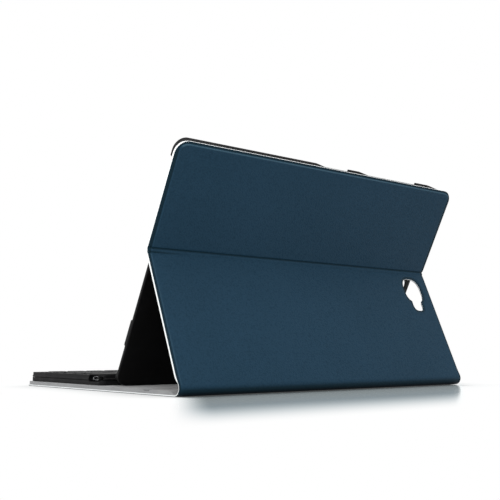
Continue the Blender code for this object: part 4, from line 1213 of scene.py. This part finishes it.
def cap_pattern():
    """Places one cap on each point and draws its sides out to the size stored there."""
    tree = bpy.data.node_groups.new("caps_at_places", "GeometryNodeTree")
    sockets = {}
    for label, kind in (("Places", "NodeSocketGeometry"), ("Cap", "NodeSocketObject"),
                        ("Cap Half Size", "NodeSocketVector"), ("Finish", "NodeSocketMaterial")):
        sockets[label] = tree.interface.new_socket(label, in_out="INPUT", socket_type=kind).identifier
    tree.interface.new_socket("Caps", in_out="OUTPUT", socket_type="NodeSocketGeometry")
    given = tree.nodes.new("NodeGroupInput").outputs
    vector = {"data_type": "FLOAT_VECTOR"}

    def made(kind, settings=None, **inputs):
        return add_node(tree, kind, settings, **inputs).outputs[0]

    cap = add_node(tree, "GeometryNodeObjectInfo", None, Object=given["Cap"]).outputs["Geometry"]
    side = made("ShaderNodeVectorMath", {"operation": "SIGN"}, _0=made("GeometryNodeInputPosition"))
    marked = made("GeometryNodeStoreNamedAttribute", {**vector, "domain": "POINT"},
                  Geometry=cap, Name="cap_side", Value=side)
    instances = made("GeometryNodeInstanceOnPoints", None, Points=given["Places"], Instance=marked)
    caps = made("GeometryNodeRealizeInstances", None, Geometry=instances)
    half = made("GeometryNodeInputNamedAttribute", vector, Name="cap_half")
    stored_side = made("GeometryNodeInputNamedAttribute", vector, Name="cap_side")
    growth = made("ShaderNodeVectorMath", {"operation": "SUBTRACT"}, _0=half, _1=given["Cap Half Size"])
    offset = made("ShaderNodeVectorMath", {"operation": "MULTIPLY"}, _0=growth, _1=stored_side)
    drawn = made("GeometryNodeSetPosition", None, Geometry=caps, Offset=offset)
    finished = made("GeometryNodeSetMaterial", None, Geometry=drawn, Material=given["Finish"])
    tree.links.new(finished, tree.nodes.new("NodeGroupOutput").inputs[0])
    return tree, sockets


def build_fixed_keys(places):
    """The caps that share the deck's body, laid out by one node tree, with their legends."""
    fixed = [place for place in places if "key_" + place[0] not in frame["nodes"]]
    width = min(size[0] for _, _, _, size in fixed)
    depth = min(size[1] for _, _, _, size in fixed)
    points = bpy.data.meshes.new("cap_places")
    points.from_pydata([KEYBOARD + Vector((*middle, 0)) for _, _, middle, _ in fixed], [], [])
    halves = points.attributes.new("cap_half", "FLOAT_VECTOR", "POINT")
    for entry, (_, _, _, size) in zip(halves.data, fixed):
        entry.vector = (size[0] / 2, size[1] / 2, 0)
    master_mesh = cap_mesh("cap_master", width, depth, FIXED_KEY_LOW)
    smooth(master_mesh, angle=50)
    master = linked("cap_master", master_mesh, "black_key")
    obj = linked("deck_key_caps", points)
    tree, sockets = cap_pattern()
    modifier = obj.modifiers.new("caps", "NODES")
    modifier.node_group = tree
    modifier[sockets["Cap"]] = master
    modifier[sockets["Cap Half Size"]] = (width / 2, depth / 2, 0.0)
    modifier[sockets["Finish"]] = FINISH["black_key"]
    applied(obj)
    bpy.data.objects.remove(master)
    bpy.data.meshes.remove(master_mesh)
    meshes = [obj.data.copy()]
    for _, legend, middle, _ in fixed:
        lettering = legend_mesh(legend)
        lettering.transform(Matrix.Translation(KEYBOARD + Vector((*middle, 0))))
        meshes.append(lettering)
    old = obj.data
    obj.data = joined_mesh("deck_key_caps", meshes)
    bpy.data.meshes.remove(old)
    obj.data.materials.append(FINISH["black_key"])
    obj.data.materials.append(FINISH["white_legend"])
    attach(obj, "keyboard")


def slot_outline(length, height, steps=10):
    radius = height / 2
    reach = length / 2 - radius
    return arc((reach, 0), radius, -pi / 2, pi / 2, steps) + arc((-reach, 0), radius, pi / 2, 1.5 * pi, steps)


def from_side(name, outline, y, z, x0, x1):
    """A closed mesh whose outline is drawn in Y and Z and that runs from x0 to x1."""
    mesh = prism(name, outline, x0, x1)
    mesh.transform(Matrix(((0, 0, 1, 0), (1, 0, 0, y), (0, 1, 0, z), (0, 0, 0, 1))))
    return mesh


def deck_step(name, front, level, half):
    """A cutter that clears the deck above a level, from its front to the slope of the raised rear."""
    top = HUMP_HIGH + CUT_PAST
    slope = HUMP_SLOPE / (HUMP_HIGH - DECK_HIGH)
    outline = [(front, level), (HUMP_FRONT + slope * (level - DECK_HIGH), level),
               (HUMP_FRONT + slope * (top - DECK_HIGH), top), (front, top)]
    return from_side(name, outline, 0, 0, -half, half)


def node_place(name, grow=0.0):
    """Middle and size of a frame node, in the keyboard's own frame, with its size grown on every side."""
    low, high = (Vector(corner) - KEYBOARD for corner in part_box(name))
    return (low + high) / 2, high - low + Vector((2 * grow, 2 * grow, 2 * grow))


def round_outline(middle, radius, steps=40):
    return arc((middle.x, middle.y), radius, 0, 2 * pi, steps)[:-1]


def end_openings():
    """Recess in the keyboard's right end, and the openings for port and switch in its floor."""
    floor = KEYBOARD_HALF - RECESS_DEPTH
    depths = (KEYBOARD_HALF - END_BLOCK - CUT_PAST, floor + CUT_PAST / 2)
    port, port_size = node_place("charge_port", KEY_GAP)
    switch, switch_size = node_place("power_switch", KEY_GAP)
    half_y, half_z = switch_size.y / 2, switch_size.z / 2
    travel = JOINTS["board_power"]["range_m"][1]
    recess = slot_outline(*RECESS)
    port_hole = slot_outline(port_size.y, port_size.z)
    switch_slot = rounded_outline(-half_y, half_y + travel, -half_z, half_z, KEY_GAP, CORNER_STEPS)
    return [from_side("recess", recess, HUMP_MIDDLE, RECESS_Z, floor, KEYBOARD_HALF + CUT_PAST),
            from_side("port", port_hole, port.y, port.z, *depths),
            from_side("switch", switch_slot, switch.y, switch.z, *depths)]


def build_deck(places):
    """The upper housing: seam, bezel round the keys, raised rear, key openings and end recess."""
    levels = [(DECK_EASE[0], DECK_LOW), (0, DECK_LOW + DECK_EASE[1]), (0, DECK_HIGH - SEAM_STEP),
              (SEAM_STEP, DECK_HIGH)]
    levels += [(SEAM_STEP + inset, HUMP_HIGH - drop) for inset, drop in quarter_round(HUMP_ROUND, steps=5)]
    rings = []
    for inset, height in levels:
        outline = rounded_box(KEYBOARD_HALF, KEYBOARD_DEEP, KEYBOARD_CORNER - inset, 2 * CORNER_STEPS, inset)
        rings.append(level_ring(outline, height))
    deck = linked("keyboard_deck_cover", lofted("keyboard_deck_cover", rings), "black_housing")
    bezel_cut = deck_step("bezel_cut", -KEYBOARD_DEEP - CUT_PAST, BEZEL_HIGH, KEYBOARD_HALF + CUT_PAST)
    key_field = deck_step("key_field", -KEYBOARD_DEEP + BEZEL_FRONT, DECK_HIGH, KEYBOARD_HALF - BEZEL_END)
    left, right = -KEYBOARD_HALF + HOUSING_WALL, KEYBOARD_HALF - END_BLOCK
    front, rear = HUMP_FRONT + HOUSING_WALL, KEYBOARD_DEEP - HOUSING_WALL
    cavity = prism("cavity", [(left, front), (right, front), (right, rear), (left, rear)],
                   DECK_LOW - CUT_PAST, HUMP_HIGH - HUMP_ROOF)
    openings = []
    for _, _, (x, y), size in places:
        half_x, half_y = size[0] / 2 + KEY_GAP, size[1] / 2 + KEY_GAP
        outline = rounded_outline(x - half_x, x + half_x, y - half_y, y + half_y, KEY_CORNER + KEY_GAP,
                                  CORNER_STEPS)
        openings.append(prism("opening", outline, DECK_LOW - CUT_PAST, DECK_HIGH + CUT_PAST))
    for name in ("connect_button", "status_light"):
        middle, size = node_place(name)
        outline = round_outline(middle, size.x / 2 + KEY_GAP)
        openings.append(prism("hole", outline, HUMP_HIGH - HUMP_ROOF - CUT_PAST, HUMP_HIGH + CUT_PAST))
    cut(deck, bezel_cut, key_field, cavity, joined_mesh("openings", openings), *end_openings())
    deck.data.transform(Matrix.Translation(KEYBOARD))
    smooth(deck.data, angle=30)
    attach(deck, "keyboard")
    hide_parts("keyboard_deck")


# Small controls in the keyboard's raised rear and right end
def turned(name, middle, profile, steps=48):
    """A round piece about an upright axis, through pairs of radius and height."""
    rings = [level_ring(round_outline(middle, radius, steps), height) for radius, height in profile]
    return lofted(name, rings)


def side_ring(outline, middle, x):
    """A ring at x, its outline drawn in Y and Z about a middle."""
    return [(x, middle.y + y, middle.z + z) for y, z in outline]


def small_piece(name, mesh, body, node, *finishes):
    """A finished piece in the keyboard, riding on its body, with the frame node it stands for hidden."""
    mesh.transform(Matrix.Translation(KEYBOARD))
    smooth(mesh, angle=40)
    obj = linked(name, mesh, *finishes)
    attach(obj, body)
    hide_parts(node)


def build_connect_button():
    """A round cap with a rolled edge and a dished top."""
    middle, size = node_place("connect_button")
    radius, low, high = size.x / 2, middle.z - size.z / 2, middle.z + size.z / 2
    profile = [(radius, low)]
    profile += [(radius - inset, high - drop) for inset, drop in quarter_round(BUTTON_ROLL, steps=5)]
    for share in (0.7, 0.5, 0.3, 0.1):
        profile.append((radius * share, high - BUTTON_DISH * (1 - share) * (1 + share)))
    small_piece("connect_button_cap", turned("connect_button_cap", middle, profile), "connect_button",
                "connect_button", "black_key")


def build_status_light():
    """A small lens, domed to just under the top of the housing."""
    middle, size = node_place("status_light")
    radius, low, high = size.x / 2, middle.z - size.z / 2, middle.z + size.z / 2
    profile = [(radius, low), (radius, high - LENS_DOME)]
    for turn in (pi / 2 * step / 6 for step in range(1, 6)):
        profile.append((radius * cos(turn), high - LENS_DOME + LENS_DOME * sin(turn)))
    small_piece("status_light_lens", turned("status_light_lens", middle, profile), "keyboard", "status_light",
                "clear_lens")


def build_power_switch():
    """A slider with eased edges and three grip grooves across its end."""
    middle, size = node_place("power_switch")
    low, high = middle.x - size.x / 2, middle.x + size.x / 2
    ease = SWITCH_EASE
    levels = [(0, low), (0, high - ease), (ease * 0.3, high - ease * 0.3), (ease, high)]
    rings = []
    for inset, x in levels:
        outline = rounded_box(size.y / 2, size.z / 2, SWITCH_CORNER - inset / 2, CORNER_STEPS, inset)
        rings.append(side_ring(outline, middle, x))
    slider = linked("power_switch_slider", lofted("power_switch_slider", rings), "black_key")
    groove = rounded_box(GROOVE_HALF, size.z, GROOVE_CORNER, steps=2)
    grooves = [from_side("groove", groove, middle.y + place * GROOVE_PITCH, middle.z, high - GROOVE_DEPTH,
                         high + GROOVE_PAST) for place in (-1, 0, 1)]
    cut(slider, joined_mesh("grooves", grooves))
    mesh = slider.data
    bpy.data.objects.remove(slider)
    small_piece("power_switch_slider", mesh, "power_switch", "power_switch", "black_key")


def build_charge_port():
    """A drawn metal socket with a rolled mouth, and the tongue inside it."""
    middle, size = node_place("charge_port")
    low, high = middle.x - size.x / 2, middle.x + size.x / 2
    wall, roll = PORT_WALL, PORT_ROLL
    levels = [(0, low), (0, high - roll), (roll, high), (wall - roll, high), (wall, high - roll),
              (wall, low + wall)]
    rings = []
    for inset, x in levels:
        outline = slot_outline(size.y - 2 * inset, size.z - 2 * inset)
        rings.append(side_ring(outline, middle, x))
    tongue = from_side("tongue", rounded_box(*TONGUE_HALF, TONGUE_CORNER, steps=3), middle.y, middle.z,
                       low + wall / 2, high - TONGUE_SETBACK)
    for face in tongue.polygons:
        face.material_index = 1
    mesh = joined_mesh("charge_port_socket", [lofted("socket", rings), tongue])
    small_piece("charge_port_socket", mesh, "keyboard", "charge_port", "bright_metal", "black_housing")


def build_keyboard():
    places = list(key_places())
    build_deck(places)
    build_fixed_keys(places)
    build_moving_keys(places)
    build_connect_button()
    build_status_light()
    build_power_switch()
    build_charge_port()


# Frame solids that stay in view or inside keep their shape and take a finish
def finish_frame_solids():
    finishes = {
        "black_housing": ["keyboard_base"],
        "bright_metal": ["cover_magnet_left", "cover_magnet_right", "keyboard_steel_strip"],
        "silver_wrap": ["battery_cell"],
        "green_board": ["control_board"],
        "grey_rubber": ["upper_back_pad", "key_membrane"],
    }
    for finish, nodes in finishes.items():
        for name in nodes:
            mesh = frame["nodes"][name].data
            mesh.materials.clear()
            mesh.materials.append(FINISH[finish])


# Studio
def build_camera():
    data = bpy.data.cameras.new("camera")
    data.sensor_width = SENSOR_WIDTH
    data.lens = CAMERA_FOCUS * SENSOR_WIDTH / IMAGE_WIDTH
    data.clip_start = NEAREST_SEEN
    camera = placed("camera", data)
    yaw, pitch = radians(CAMERA_YAW), radians(CAMERA_PITCH)
    aim = Vector((-sin(yaw) * cos(pitch), -cos(yaw) * cos(pitch), sin(pitch)))
    camera.location = CAMERA_PLACE
    camera.rotation_euler = aim.to_track_quat("-Z", "Y").to_euler()
    bpy.context.scene.camera = camera


def seen_directly(tree):
    """One for rays from the camera and for mirror and glass rays, zero for light that falls on the object."""
    path = tree.nodes.new("ShaderNodeLightPath").outputs
    mirrored = maths(tree, "MAXIMUM", path["Is Glossy Ray"], path["Is Transmission Ray"])
    return maths(tree, "MAXIMUM", path["Is Camera Ray"], mirrored)


def build_world():
    """White all round: plain white where it is seen, and weaker as a light."""
    world = bpy.data.worlds.new("studio")
    bpy.context.scene.world = world
    world.use_nodes = True
    tree = world.node_tree
    shader = tree.nodes["Background"]
    shader.inputs["Color"].default_value = WHITE
    seen = product(tree, seen_directly(tree), 1 - SURROUND_STRENGTH)
    tree.links.new(maths(tree, "ADD", seen, SURROUND_STRENGTH), shader.inputs["Strength"])


def flat_sheet(name, half_x, half_y):
    corners = [(-half_x, -half_y, 0), (half_x, -half_y, 0), (half_x, half_y, 0), (-half_x, half_y, 0)]
    return mesh_from(name, corners, [(0, 1, 2, 3)])


def contact_shadow(tree, behind, out_x, out_y):
    """Dark close behind the rear fold and, more weakly, along the sides of the case."""
    at_fold = product(tree, between(tree, behind, *UNDER_SPINE),
                      between(tree, behind, *CONTACT_REACH, CONTACT_SHARE, 0.0))
    fold_contact = product(tree, at_fold, between(tree, out_x, *CONTACT_END, 1.0, 0.0))
    side_contact = product(tree, between(tree, out_x, *SIDE_CONTACT_REACH, SIDE_CONTACT_SHARE, 0.0),
                           between(tree, out_y, *SIDE_CONTACT_END, 1.0, 0.0))
    return maths(tree, "MAXIMUM", fold_contact, side_contact)


def mirror_area(tree, x, behind):
    """Strength of the mirror behind the case, between two slanted lines from the ends of the rear fold."""
    near_line = maths(tree, "SUBTRACT", x, product(tree, behind, MIRROR_NEAR_SLANT))
    far_line = maths(tree, "SUBTRACT", x, product(tree, behind, MIRROR_FAR_SLANT))
    near_end = between(tree, near_line, *MIRROR_NEAR_END, 1.0, 0.0)
    far_end = between(tree, far_line, *MIRROR_FAR_END)
    start = product(tree, between(tree, behind, *MIRROR_START), product(tree, near_end, far_end))
    return product(tree, between(tree, behind, *MIRROR_REACH, MIRROR_SHARE, 0.0), start)


def white_floor():
    """Plain white where it is seen, with the case's shadow and, at a grazing view, its mirrored foot over a
    painted teal reflection.
    """
    material = bpy.data.materials.new("white_floor")
    material.use_nodes = True
    tree = material.node_tree
    tree.nodes.clear()
    place = add_node(tree, "ShaderNodeSeparateXYZ", None, Vector=object_place(tree)).outputs
    out_x = maths(tree, "SUBTRACT", maths(tree, "ABSOLUTE", place["X"]), HALF_WIDTH)
    behind = maths(tree, "SUBTRACT", place["Y"], CASE_REAR)
    out_y = maths(tree, "MAXIMUM", behind, maths(tree, "SUBTRACT", CASE_FRONT, place["Y"]))
    away = maths(tree, "MAXIMUM", maths(tree, "MAXIMUM", out_x, out_y), 0.0)
    contact = contact_shadow(tree, behind, out_x, out_y)
    shadow = maths(tree, "MAXIMUM", between(tree, away, 0.0, SHADOW_REACH, SHADOW_SHARE, 0.0), contact)
    camera_ray = tree.nodes.new("ShaderNodeLightPath").outputs["Is Camera Ray"]
    facing = tree.nodes.new("ShaderNodeLayerWeight").outputs["Facing"]
    grazing = product(tree, between(tree, facing, *GRAZING, STEEP_SHARE, 1.0), camera_ray)
    mirror_share = product(tree, mirror_area(tree, place["X"], behind), grazing)
    glow_share = product(tree, seen_directly(tree), maths(tree, "SUBTRACT", 1.0, shadow))
    # Painted reflection: the floor's own white turns pale teal where the case's foot is mirrored
    tint = blended(tree, product(tree, mirror_share, 1 / MIRROR_SHARE), WHITE, PAINTED_REFLECTION_TINT)
    colour = blended(tree, 1.0, tint, blended(tree, contact, FLOOR_LIT, FLOOR_SHADED), "MULTIPLY")
    diffuse = add_node(tree, "ShaderNodeBsdfDiffuse", None, Color=colour).outputs[0]
    glow = add_node(tree, "ShaderNodeEmission", None, Color=tint, Strength=1.0).outputs[0]
    mirror = add_node(tree, "ShaderNodeBsdfGlossy", None, Color=WHITE, Roughness=MIRROR_BLUR).outputs[0]
    plain = add_node(tree, "ShaderNodeMixShader", None, _0=glow_share, _1=diffuse, _2=glow).outputs[0]
    mixed = add_node(tree, "ShaderNodeMixShader", None, _0=mirror_share, _1=plain, _2=mirror).outputs[0]
    tree.links.new(mixed, tree.nodes.new("ShaderNodeOutputMaterial").inputs["Surface"])
    return material


def build_floor():
    mesh = flat_sheet("floor", FLOOR_HALF, FLOOR_HALF)
    mesh.materials.append(white_floor())
    floor = placed("floor", mesh)
    floor.location.z = -FLOOR_DROP


def build_dark_card():
    """A black card out of the picture, seen only in reflections, that keeps the shell's edges black."""
    mesh = flat_sheet("dark_card", CARD_SIZE[0] / 2, CARD_SIZE[1] / 2)
    turn = (CARD_PLACE - CARD_TARGET).to_track_quat("Z", "Y")
    mesh.transform(Matrix.Translation(CARD_PLACE) @ turn.to_matrix().to_4x4())
    mesh.materials.append(new_material("dark_card", Base_Color=CARD_BLACK, Specular_IOR_Level=0)[0])
    card = placed("dark_card", mesh)
    card.visible_camera = False
    card.visible_diffuse = False
    card.visible_shadow = False
    card.visible_transmission = False


def build_lights():
    for name, place, size, power in SOFTBOXES:
        data = bpy.data.lights.new(name, "AREA")
        data.shape = "RECTANGLE"
        data.size, data.size_y = size
        data.energy = power
        light = placed(name, data)
        light.location = place
        aim = LIGHT_TARGET - Vector(place)
        light.rotation_euler = aim.to_track_quat("-Z", "Y").to_euler()


build_camera()
build_world()
build_floor()
build_dark_card()
build_lights()
build_lower_folio()
build_upper_folio()
build_tablet_shell()
build_keyboard()
finish_frame_solids()
bpy.context.scene.view_settings.view_transform = "Standard"
